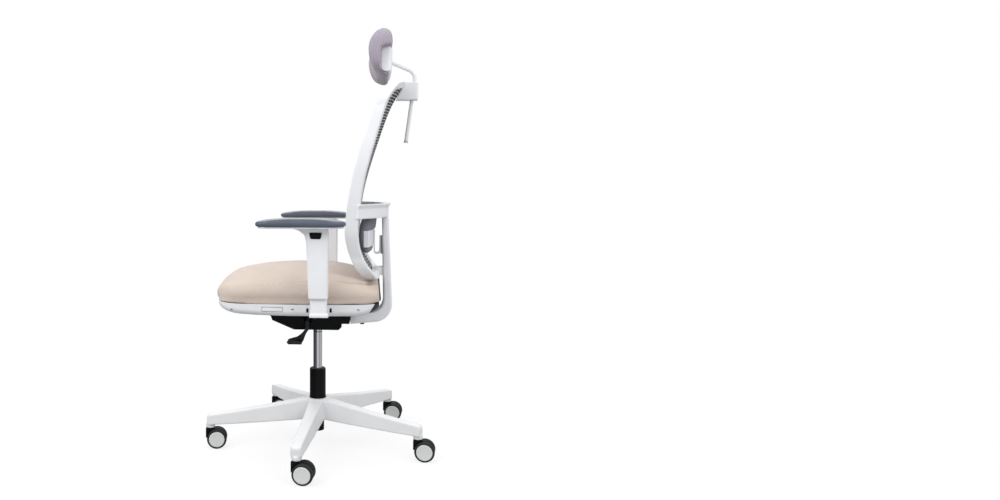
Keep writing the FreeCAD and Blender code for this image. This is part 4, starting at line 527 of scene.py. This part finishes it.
def plain_mesh(piece):
    """Turns a piece with its modifiers into one plain mesh."""
    graph = bpy.context.evaluated_depsgraph_get()
    mesh = bpy.data.meshes.new_from_object(piece.evaluated_get(graph))
    piece.modifiers.clear()
    old = piece.data
    piece.data = mesh
    bpy.data.meshes.remove(old)
    return piece


def merged_copy(node, name):
    """A copy of a CAD solid with its triangles joined at their corners."""
    mesh = nodes[node].data.copy()
    mesh.name = name
    work = bmesh.new()
    work.from_mesh(mesh)
    bmesh.ops.remove_doubles(work, verts=work.verts, dist=2e-6)
    work.to_mesh(mesh)
    work.free()
    return new_piece(name, mesh)


def smooth_faces(mesh):
    mesh.polygons.foreach_set("use_smooth", [True] * len(mesh.polygons))


def points_of(mesh):
    flat = np.zeros(len(mesh.vertices) * 3)
    mesh.vertices.foreach_get("co", flat)
    return flat.reshape(-1, 3)


def set_points(mesh, points):
    mesh.vertices.foreach_set("co", points.ravel())
    mesh.update()


def normals_of(mesh):
    flat = np.zeros(len(mesh.vertices) * 3)
    mesh.vertex_normals.foreach_get("vector", flat)
    return flat.reshape(-1, 3)


def solid_tree(mesh):
    """A mesh as something to cast rays at."""
    return BVHTree.FromPolygons([v.co for v in mesh.vertices], [p.vertices for p in mesh.polygons])


def side_spot(tree, sign, y, z):
    """The outermost point of a piece on one side of the chair, at a depth and a height."""
    return tree.ray_cast(Vector((sign * RAY_BESIDE, y, z)), Vector((-sign, 0, 0)))[0]


def stand_in(piece, node):
    """The piece takes the CAD node's place and body."""
    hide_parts(node)
    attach(piece, nodes[node]["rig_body"])
    return piece


def eased_copy(node, name, voxel, rounds):
    """A CAD solid in its finish, under one even skin with its edges eased."""
    piece = merged_copy(node, name)
    skin = piece.modifiers.new("skin", "REMESH")
    skin.mode = "VOXEL"
    skin.voxel_size = voxel
    ease = piece.modifiers.new("ease", "SMOOTH")
    ease.factor = EASE_STRENGTH
    ease.iterations = rounds
    plain_mesh(piece)
    piece.data.materials.clear()
    piece.data.materials.append(finish_of(node))
    smooth_faces(piece.data)
    return piece


def moulding(node, voxel, rounds):
    """A CAD solid with the soft edges that a mould gives it."""
    return stand_in(eased_copy(node, node + "_moulding", voxel, rounds), node)


def round_tips(piece):
    """Gives the star's square leg ends a round nose, in plan and over the top."""
    points = points_of(piece.data)
    reach = np.hypot(points[:, 0], points[:, 1])
    step = 2 * math.pi / LEG_COUNT
    swing = np.arctan2(points[:, 1], points[:, 0]) - LEG_FIRST_ANGLE
    off = swing - np.round(swing / step) * step
    along = reach * np.cos(off)
    beside = reach * np.sin(off)
    past = along - (along.max() - TIP_NOSE)
    ends = past > 0
    top = points[ends, 2].max()
    wide = np.clip(np.abs(beside) / np.abs(beside[ends]).max(), 0, 1)
    high = np.clip(1 - (top - points[:, 2]) / TIP_NOSE, 0, 1)
    share = np.sqrt(np.clip(1 - wide ** TIP_POWER, 0, 1)) * np.sqrt(np.clip(1 - high ** TIP_POWER, 0, 1))
    pulled = np.where(ends, past * (1 - share), 0)
    axis = LEG_FIRST_ANGLE + np.round(swing / step) * step
    points[:, 0] -= pulled * np.cos(axis)
    points[:, 1] -= pulled * np.sin(axis)
    set_points(piece.data, points)


def round_post(piece):
    """Rounds an arm post's outer upright corners, which have to clear the eased corners in its sleeve."""
    points = points_of(piece.data)
    out = np.abs(points[:, 0])
    side = np.sign(points[:, 0])
    outer = out.max() - FOOT_OUT
    rear = points[:, 1].max() - FOOT_REAR
    front = points[:, 1].min() + FOOT_FRONT
    above = points[:, 2] > points[:, 2].min() + FOOT_HEIGHT
    for sign, face in ((1, rear), (-1, front)):
        past_side = out - outer + POST_ROUND
        past_face = (points[:, 1] - face) * sign + POST_ROUND
        corner = above & (past_side > 0) & (past_face > 0)
        reach = np.hypot(past_side, past_face)[corner]
        share = np.minimum(1.0, POST_ROUND / reach)
        out[corner] = outer - POST_ROUND + past_side[corner] * share
        points[corner, 1] = face + (past_face[corner] * share - POST_ROUND) * sign
    points[:, 0] = side * out
    set_points(piece.data, points)


def clear_sleeve(piece, low, high):
    """Keeps the thin wall behind a sleeve's button, in a box, out of the stem's way."""
    points = points_of(piece.data)
    out = np.abs(points[:, 0])
    wall = out.max() - SLEEVE_WALL
    bulged = (out < wall) & (out > wall - WALL_BULGE)
    for axis in (1, 2):
        bulged &= points[:, axis] > low[axis] - BUTTON_EDGE
        bulged &= points[:, axis] < high[axis] + BUTTON_EDGE
    points[bulged, 0] = np.sign(points[bulged, 0]) * wall
    set_points(piece.data, points)


def thin_button(piece):
    """Cuts a button's hidden back off, so that it clears the floor of its pocket."""
    points = points_of(piece.data)
    out = np.abs(points[:, 0])
    points[:, 0] = np.sign(points[:, 0]) * np.maximum(out, out.max() - BUTTON_LEFT)
    set_points(piece.data, points)


def lathe(profile, centre, axis, segments):
    """A turned mesh. The profile is a list of (along the axis, radius, material)."""
    axis = Vector(axis).normalized()
    side = axis.orthogonal().normalized()
    other = axis.cross(side)
    verts = []
    faces = []
    paints = []
    for along, radius, paint in profile:
        for k in range(segments):
            swing = 2 * math.pi * k / segments
            outward = side * math.cos(swing) + other * math.sin(swing)
            verts.append(centre + axis * along + outward * radius)
    for row in range(len(profile) - 1):
        for k in range(segments):
            after = (k + 1) % segments
            faces.append((row * segments + k, row * segments + after,
                          (row + 1) * segments + after, (row + 1) * segments + k))
            paints.append(profile[row][2])
    last = (len(profile) - 1) * segments
    faces.append(tuple(reversed(range(segments))))
    faces.append(tuple(range(last, last + segments)))
    paints += [profile[0][2], profile[-1][2]]
    mesh = bpy.data.meshes.new("turned")
    mesh.from_pydata([tuple(v) for v in verts], [], faces)
    mesh.polygons.foreach_set("material_index", paints)
    work = bmesh.new()
    work.from_mesh(mesh)
    bmesh.ops.recalc_face_normals(work, faces=work.faces)
    work.to_mesh(mesh)
    work.free()
    return mesh


# Geometry Nodes

class Tree:
    """A Geometry Nodes tree with named inputs."""

    def __init__(self, name):
        self.tree = bpy.data.node_groups.new(name, "GeometryNodeTree")
        self.tree.interface.new_socket("Geometry", in_out="INPUT", socket_type="NodeSocketGeometry")
        self.tree.interface.new_socket("Geometry", in_out="OUTPUT", socket_type="NodeSocketGeometry")
        self.inlet = self.tree.nodes.new("NodeGroupInput")
        self.names = {}

    def size(self, name, value):
        """A named input of the tree, and the socket that gives it."""
        made = self.tree.interface.new_socket(name, in_out="INPUT", socket_type="NodeSocketFloat")
        self.names[name] = (made.identifier, value)
        return self.inlet.outputs[made.identifier]

    def node(self, kind, settings=None, values=None, output=0):
        made = self.tree.nodes.new(kind)
        for key, value in (settings or {}).items():
            setattr(made, key, value)
        for key, value in (values or {}).items():
            socket = made.inputs[key]
            for link in value if isinstance(value, list) else [value]:
                if isinstance(link, bpy.types.NodeSocket):
                    self.tree.links.new(link, socket)
                else:
                    socket.default_value = link
        return made.outputs[output]

    def maths(self, operation, first, second=0.0):
        return self.node("ShaderNodeMath", {"operation": operation}, {0: first, 1: second})

    def finish(self, geometry, piece):
        """Runs the tree on a piece and leaves a plain mesh."""
        real = self.node("GeometryNodeRealizeInstances", None, {"Geometry": geometry})
        outlet = self.tree.nodes.new("NodeGroupOutput")
        self.tree.links.new(real, outlet.inputs[0])
        work = piece.modifiers.new("work", "NODES")
        work.node_group = self.tree
        for identifier, value in self.names.values():
            work[identifier] = value
        return plain_mesh(piece)


# Casters

def make_wheel(number, turn, side, sign):
    """A wheel turned from its profile: the tread's finish is 0 and the side disc's is 1."""
    node = "caster_%d_wheel_%s" % (number, side)
    low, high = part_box(node)
    radius = (high.z - low.z) / 2
    axis = Vector((math.cos(turn), math.sin(turn), 0)) * sign
    start = (low + high) / 2 - axis * WHEEL_WIDTH / 2
    wide = WHEEL_WIDTH
    profile = [
        (0.0, 0.007, 0), (0.0, radius - 0.0045, 0), (0.0006, radius - 0.0026, 0),
        (0.0022, radius - 0.0006, 0), (0.005, radius, 0),
        (wide - 0.0062, radius, 0), (wide - 0.0032, radius - 0.0008, 0),
        (wide - 0.0014, radius - 0.0024, 0), (wide - 0.0008, radius - 0.0042, 0),
        (wide - 0.0008, DISC_RADIUS + 0.0008, 0), (wide - 0.0022, DISC_RADIUS + 0.0005, 0),
        (wide - 0.0022, DISC_RADIUS, 1), (wide - 0.0008, DISC_RADIUS - 0.0002, 1),
        (wide - 0.0001, DISC_RADIUS - 0.0012, 1), (wide - 0.0003, DISC_RADIUS - 0.0035, 1),
        (wide - 0.0009, DISC_RADIUS * 0.62, 1), (wide - 0.0011, DISC_RADIUS * 0.30, 1),
        (wide - 0.0011, DISC_RADIUS * 0.05, 1),
    ]
    mesh = lathe(profile, start, axis, WHEEL_SEGMENTS)
    piece = new_piece(node + "_turned", mesh, TREAD, FINISH["grey_wheel"])
    smooth_faces(mesh)
    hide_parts(node)
    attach(piece, node)


for number, turn in enumerate(CASTER_TURNS, start=1):
    moulding("caster_%d_hood" % number, *HOOD_MOULDING)
    make_wheel(number, math.radians(turn), "left", 1)
    make_wheel(number, math.radians(turn), "right", -1)


# Hard mouldings

for node, (voxel, rounds) in MOULDINGS.items():
    made = moulding(node, voxel, rounds)
    if node == "star_base":
        round_tips(made)
    elif node.startswith("arm_stem"):
        round_post(made)
    elif node.startswith("arm_sleeve"):
        clear_sleeve(made, *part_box(node.replace("sleeve", "button")))
    elif node.startswith("arm_button"):
        thin_button(made)


# Screws, and black blocks of painted shadow, on the shell's sides

def side_fittings(name, node, places, size, edge, slot):
    """Small rounded blocks sunk in both sides of a node."""
    tree = solid_tree(nodes[node].data)
    work = bmesh.new()
    for y, z in places:
        for sign in (1, -1):
            block = bmesh.ops.create_cube(work, size=1.0)["verts"]
            bmesh.ops.scale(work, vec=size, verts=block)
            bmesh.ops.translate(work, vec=side_spot(tree, sign, y, z), verts=block)
    bmesh.ops.bevel(work, geom=work.edges[:], offset=edge, segments=3, affect="EDGES")
    mesh = bpy.data.meshes.new(name)
    work.to_mesh(mesh)
    work.free()
    piece = new_piece(name, mesh, FINISH[slot])
    smooth_faces(mesh)
    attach(piece, nodes[node]["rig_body"])


side_fittings("shell_screws", "seat_shell", SHELL_SCREWS, SCREW_SIZE, SCREW_EDGE, "spring_steel")
# painted shadow: black blocks where the ends of the arm's slot lie in shade
side_fittings("shell_slots", "seat_shell", SLOT_SHADOWS, SLOT_SHADOW_SIZE, SLOT_SHADOW_EDGE, "black_plastic")


# Padded pieces

def stuffed(node, name, skin, cap, pressure):
    """A soft piece: the CAD form under a skin that air pressure fills and a cap holds back."""
    piece = eased_copy(node, name, *skin)
    start = points_of(piece.data)
    cloth = piece.modifiers.new("cloth", "CLOTH")
    cloth.settings.use_pressure = True
    cloth.settings.uniform_pressure_force = pressure
    cloth.settings.effector_weights.gravity = 0
    cloth.point_cache.frame_start = 1
    cloth.point_cache.frame_end = CLOTH_FRAMES
    for step in range(1, CLOTH_FRAMES + 1):
        scene.frame_set(step)
    plain_mesh(piece)
    moved = points_of(piece.data) - start
    length = np.linalg.norm(moved, axis=1, keepdims=True)
    share = np.minimum(1.0, cap / np.maximum(length, 1e-9))
    set_points(piece.data, start + moved * share)
    return piece


def finer(piece):
    """Splits each face of a piece in four and rounds it."""
    even = piece.modifiers.new("even", "SUBSURF")
    even.levels = 1
    even.render_levels = 1
    return plain_mesh(piece)


def press_in(piece, path, depths, width):
    """Presses a soft groove into a piece along a line of points, as deep at each as its own depth."""
    mesh = piece.data
    points = points_of(mesh)
    nearest = np.full(len(points), 1e9)
    amount = np.zeros(len(points))
    for first, second, start, end in zip(path, path[1:], depths, depths[1:]):
        a = np.array(first)
        run = np.array(second) - a
        share = np.clip(((points - a) @ run) / (run @ run), 0, 1)
        gap = np.linalg.norm(points - (a + share[:, None] * run), axis=1)
        nearer = gap < nearest
        nearest[nearer] = gap[nearer]
        amount[nearer] = (start + (end - start) * share)[nearer]
    amount *= np.exp(-((nearest / width) ** 2))
    set_points(mesh, points - normals_of(mesh) * amount[:, None])


def both_sides(piece, outline, depths, width):
    """The same groove on the sitter's left and right, drawn over the side of the piece."""
    tree = solid_tree(piece.data)
    for sign in (1, -1):
        path = [side_spot(tree, sign, y, z) for y, z in outline]
        press_in(piece, path, depths, width)


def seat_on_rim(piece):
    """Lets the cushion's lower edge swell out over the shell's rim, where no gap shows."""
    mesh = piece.data
    points = points_of(mesh)
    normals = normals_of(mesh)
    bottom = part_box("seat_shell")[1].z
    rise = (points[:, 2] - bottom) / RIM_SWELL_HEIGHT
    share = np.clip(1 - rise, 0, 1) ** 1.5 * (rise > -0.2)
    share *= np.clip((points[:, 1] - RIM_SWELL_START) / RIM_START_BLEND, 0, 1)
    share *= np.clip((RIM_SWELL_END - points[:, 1]) / RIM_END_BLEND, 0, 1)
    flat = normals[:, :2]
    length = np.linalg.norm(flat, axis=1, keepdims=True)
    outward = np.where(length > 0.15, flat / np.maximum(length, 1e-6), 0)
    points[:, :2] += outward * (RIM_SWELL * share)[:, None]
    points[:, 2] -= RIM_DROP * share
    set_points(mesh, points)


cushion = stuffed("seat_cushion", "seat_cushion_cover", CUSHION_SKIN, cap=0.003, pressure=4.0)
seat_on_rim(cushion)
finer(cushion)
both_sides(cushion, SEAT_CREASE, SEAT_CREASE_DEPTHS, SEAT_CREASE_WIDTH)
stand_in(cushion, "seat_cushion")

headrest = stuffed("headrest_pad", "headrest_cover", HEADREST_SKIN, cap=0.002, pressure=3.0)
finer(headrest)
both_sides(headrest, HEAD_FOLD, HEAD_FOLD_DEPTHS, HEAD_FOLD_WIDTH)
both_sides(headrest, HEAD_SEAM, HEAD_SEAM_DEPTHS, HEAD_SEAM_WIDTH)
stand_in(headrest, "headrest_pad")

lumbar = stuffed("lumbar_pad", "lumbar_cover", LUMBAR_SKIN, cap=0.0008, pressure=3.0)
finer(lumbar)
stand_in(lumbar, "lumbar_pad")

for side in ("left", "right"):
    pad = eased_copy("arm_pad_" + side, "arm_pad_%s_skin" % side, *ARM_PAD_SKIN)
    stand_in(pad, "arm_pad_" + side)


# Woven back

def make_net():
    """The back's cloth as one sheet on the front of its CAD sheet, with flat coordinates in metres."""
    tree = solid_tree(nodes["back_mesh"].data)
    low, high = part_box("back_mesh")
    ahead = low.y - RAY_AHEAD
    backward = Vector((0, 1, 0))

    def front_face(x, z):
        return tree.ray_cast(Vector((x, ahead, z)), backward)[0]

    def half_width(z):
        near, far = 0.0, high.x
        for halving in range(18):
            middle = (near + far) / 2
            if front_face(middle, z) is None:
                far = middle
            else:
                near = middle
        return near

    heights = np.linspace(low.z + SHEET_RIM, high.z - SHEET_RIM, SHEET_ROWS)
    verts = []
    flat = []
    for z in heights:
        half = half_width(z) - SHEET_RIM / 2
        for share in np.linspace(-1, 1, SHEET_COLUMNS):
            point = front_face(share * half, z)
            verts.append((point.x, point.y + SHEET_SINK, point.z))
            flat.append((point.x, point.z))
    faces = []
    for row in range(SHEET_ROWS - 1):
        for column in range(SHEET_COLUMNS - 1):
            first = row * SHEET_COLUMNS + column
            faces.append((first, first + 1, first + 1 + SHEET_COLUMNS, first + SHEET_COLUMNS))
    mesh = bpy.data.meshes.new("back_net")
    mesh.from_pydata(verts, [], faces)
    layer = mesh.uv_layers.new(name="Flat")
    corners = [flat[v] for face in faces for v in face]
    layer.data.foreach_set("uv", np.array(corners).ravel())
    smooth_faces(mesh)
    return new_piece("back_net", mesh, FINISH["woven_mesh"])


net = make_net()
sheet_low, sheet_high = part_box("back_mesh")


def make_yarns(name, turn, lift, material):
    """One set of slanting yarns that lie on the net and pass over and under the other set."""
    tree = Tree(name)
    pitch = tree.size("Pitch", NET_PITCH)
    radius = tree.size("Yarn radius", YARN_RADIUS)
    height = tree.size("Lift", lift)
    span = (sheet_high - sheet_low).length
    count = int(span / NET_PITCH) + 1
    grid = tree.node("GeometryNodeMeshGrid", None, {
        "Size X": tree.maths("MULTIPLY", pitch, float(count - 1)),
        "Size Y": tree.maths("MULTIPLY", pitch, float(count - 1)),
        "Vertices X": count, "Vertices Y": count})
    index = tree.node("GeometryNodeInputIndex")
    row = tree.maths("FLOOR", tree.maths("DIVIDE", index, float(count)))
    column = tree.maths("MODULO", index, float(count))
    odd = tree.maths("MODULO", tree.maths("ADD", row, column), 2.0)
    over = tree.maths("SUBTRACT", tree.maths("MULTIPLY", odd, 2.0), 1.0)
    marked = tree.node("GeometryNodeStoreNamedAttribute", {"data_type": "FLOAT", "domain": "POINT"},
                       {"Geometry": grid, "Name": "over", "Value": over})
    ends = [tree.node("GeometryNodeInputMeshEdgeVertices", output=k) for k in (2, 3)]
    run = tree.node("ShaderNodeVectorMath", {"operation": "SUBTRACT"}, {0: ends[0], 1: ends[1]})
    across = tree.maths("ABSOLUTE", tree.node("ShaderNodeSeparateXYZ", None, {0: run}, 0))
    one_way = tree.node("GeometryNodeDeleteGeometry", {"domain": "EDGE", "mode": "EDGE_FACE"}, {
        "Geometry": marked,
        "Selection": tree.node("FunctionNodeCompare", {"data_type": "FLOAT", "operation": "GREATER_THAN"},
                               {"A": across, "B": 1e-5})})
    centre = (sheet_low + sheet_high) / 2
    stood = tree.node("GeometryNodeTransform", None, {
        "Geometry": one_way,
        "Translation": (centre.x, sheet_low.y - RAY_AHEAD, centre.z),
        "Rotation": (math.pi / 2, turn, 0.0)})
    sheet = tree.node("GeometryNodeObjectInfo", None, {"Object": net}, "Geometry")
    hit = tree.node("GeometryNodeRaycast", None, {
        "Target Geometry": sheet, "Ray Direction": (0.0, 1.0, 0.0), "Ray Length": 1.0})
    where = hit.node.outputs["Hit Position"]
    lift_name = tree.node("GeometryNodeInputNamedAttribute", {"data_type": "FLOAT"}, {"Name": "over"})
    rise = tree.node("ShaderNodeCombineXYZ", None, {"Y": tree.maths("MULTIPLY", lift_name, height)})
    spot = tree.node("ShaderNodeVectorMath", {"operation": "ADD"}, {0: where, 1: rise})
    missed = tree.node("FunctionNodeBooleanMath", {"operation": "NOT"}, {0: hit})
    trimmed = tree.node("GeometryNodeDeleteGeometry", {"domain": "POINT"},
                        {"Geometry": stood, "Selection": missed})
    laid = tree.node("GeometryNodeSetPosition", None, {"Geometry": trimmed, "Position": spot})
    curve = tree.node("GeometryNodeMeshToCurve", None, {"Mesh": laid})
    ring = tree.node("GeometryNodeCurvePrimitiveCircle", None, {"Resolution": 4, "Radius": radius})
    tube = tree.node("GeometryNodeCurveToMesh", None,
                     {"Curve": curve, "Profile Curve": ring, "Fill Caps": True})
    painted = tree.node("GeometryNodeSetMaterial", None, {"Geometry": tube, "Material": material})
    piece = new_piece(name, bpy.data.meshes.new(name))
    tree.finish(painted, piece)
    smooth_faces(piece.data)
    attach(piece, "back")
    return piece


stand_in(net, "back_mesh")
yarns = [make_yarns("dark_yarns", math.pi / 2 - YARN_SLANT, YARN_LIFT, DARK_YARN),
         make_yarns("pale_yarns", YARN_SLANT - math.pi / 2, -YARN_LIFT, PALE_YARN)]


# Studio

def soft_lamp(name, place, width, power):
    """A round lamp that faces the chair."""
    lamp = bpy.data.lights.new(name, "AREA")
    lamp.shape = "DISK"
    lamp.size = width
    lamp.energy = power
    thing = bpy.data.objects.new(name, lamp)
    scene.collection.objects.link(thing)
    thing.location = place
    thing.rotation_euler = (Vector(CHAIR_MIDDLE) - Vector(place)).to_track_quat("-Z", "Y").to_euler()


def make_floor():
    """A wide pale floor. It shows as white to the camera and keeps the chair's soft shadow."""
    far = FLOOR_REACH
    mesh = bpy.data.meshes.new("studio_floor")
    mesh.from_pydata([(-far, -far, 0), (far, -far, 0), (far, far, 0), (-far, far, 0)], [], [(0, 1, 2, 3)])
    paint = Paint("studio_floor_paint")
    path = paint.node("ShaderNodeLightPath")
    seen = path.most(path.beside("Is Transmission Ray"))
    x, y, z = paint.split(paint.place())
    out = (x * x + y * y) ** 0.5
    fade = out.over(SHADOW_REACH, SHADOW_FADE)
    matt = paint.node("ShaderNodeBsdfDiffuse", None, {"Color": paint.mix(seen, FLOOR_BOUNCE, FLOOR_SHOWN)})
    glow = paint.node("ShaderNodeEmission", None, {"Color": WHITE, "Strength": 1.0})
    share = seen * (fade * (1 - SHADOW_GLOW) + SHADOW_GLOW)
    shown = paint.node("ShaderNodeMixShader", None, {0: share, 1: matt, 2: glow})
    wall = paint.walls(y / out * 0.5 + 0.5)
    mirrored = paint.node("ShaderNodeEmission", None, {"Color": wall, "Strength": 1.0})
    shown = paint.node("ShaderNodeMixShader", None,
                       {0: path.beside("Is Glossy Ray"), 1: shown, 2: mirrored})
    paint.node("ShaderNodeOutputMaterial", None, {"Surface": shown})
    new_piece("studio_floor", mesh, paint.material)


def make_world():
    """White to the camera, bright walls in reflections, and an even soft light on the chair."""
    scene.world = bpy.data.worlds.new("studio")
    paint = Paint("studio", scene.world)
    path = paint.node("ShaderNodeLightPath")
    seen = path.most(path.beside("Is Transmission Ray"))
    mirrored = seen.most(path.beside("Is Glossy Ray"))
    x, y, z = paint.split(paint.node("ShaderNodeTexCoord", output="Generated"))
    strength = paint.node("ShaderNodeMapRange", None, {
        "Value": z, "From Min": SKY_LOW, "From Max": SKY_HIGH, "To Min": LOW_LIGHT, "To Max": HIGH_LIGHT})
    even = paint.node("ShaderNodeBackground", None, {"Color": WHITE, "Strength": strength})
    bright = seen.most(paint.walls(y * 0.5 + 0.5))
    white = paint.node("ShaderNodeBackground", None, {"Color": WHITE, "Strength": bright})
    shown = paint.node("ShaderNodeMixShader", None, {0: mirrored, 1: even, 2: white})
    paint.node("ShaderNodeOutputWorld", None, {"Surface": shown})


def make_camera():
    """The camera beside the chair, turned a little to its rear and tipped down."""
    lens = bpy.data.cameras.new("studio_camera")
    lens.sensor_width = CAMERA_SENSOR_MM
    lens.lens = CAMERA_LENS_MM
    lens.shift_x = CAMERA_SHIFT
    camera = bpy.data.objects.new("studio_camera", lens)
    scene.collection.objects.link(camera)
    outward = Vector((math.cos(CAMERA_AZIMUTH), math.sin(CAMERA_AZIMUTH), 0))
    camera.location = outward * CAMERA_DISTANCE + Vector((0, 0, CAMERA_HEIGHT))
    aim = -outward * math.cos(CAMERA_PITCH) - Vector((0, 0, math.sin(CAMERA_PITCH)))
    camera.rotation_euler = aim.to_track_quat("-Z", "Y").to_euler()
    scene.camera = camera


make_floor()
make_world()
make_camera()
for name, (place, width, power) in LAMPS.items():
    soft_lamp(name, place, width, power)
scene.view_settings.view_transform = "Standard"
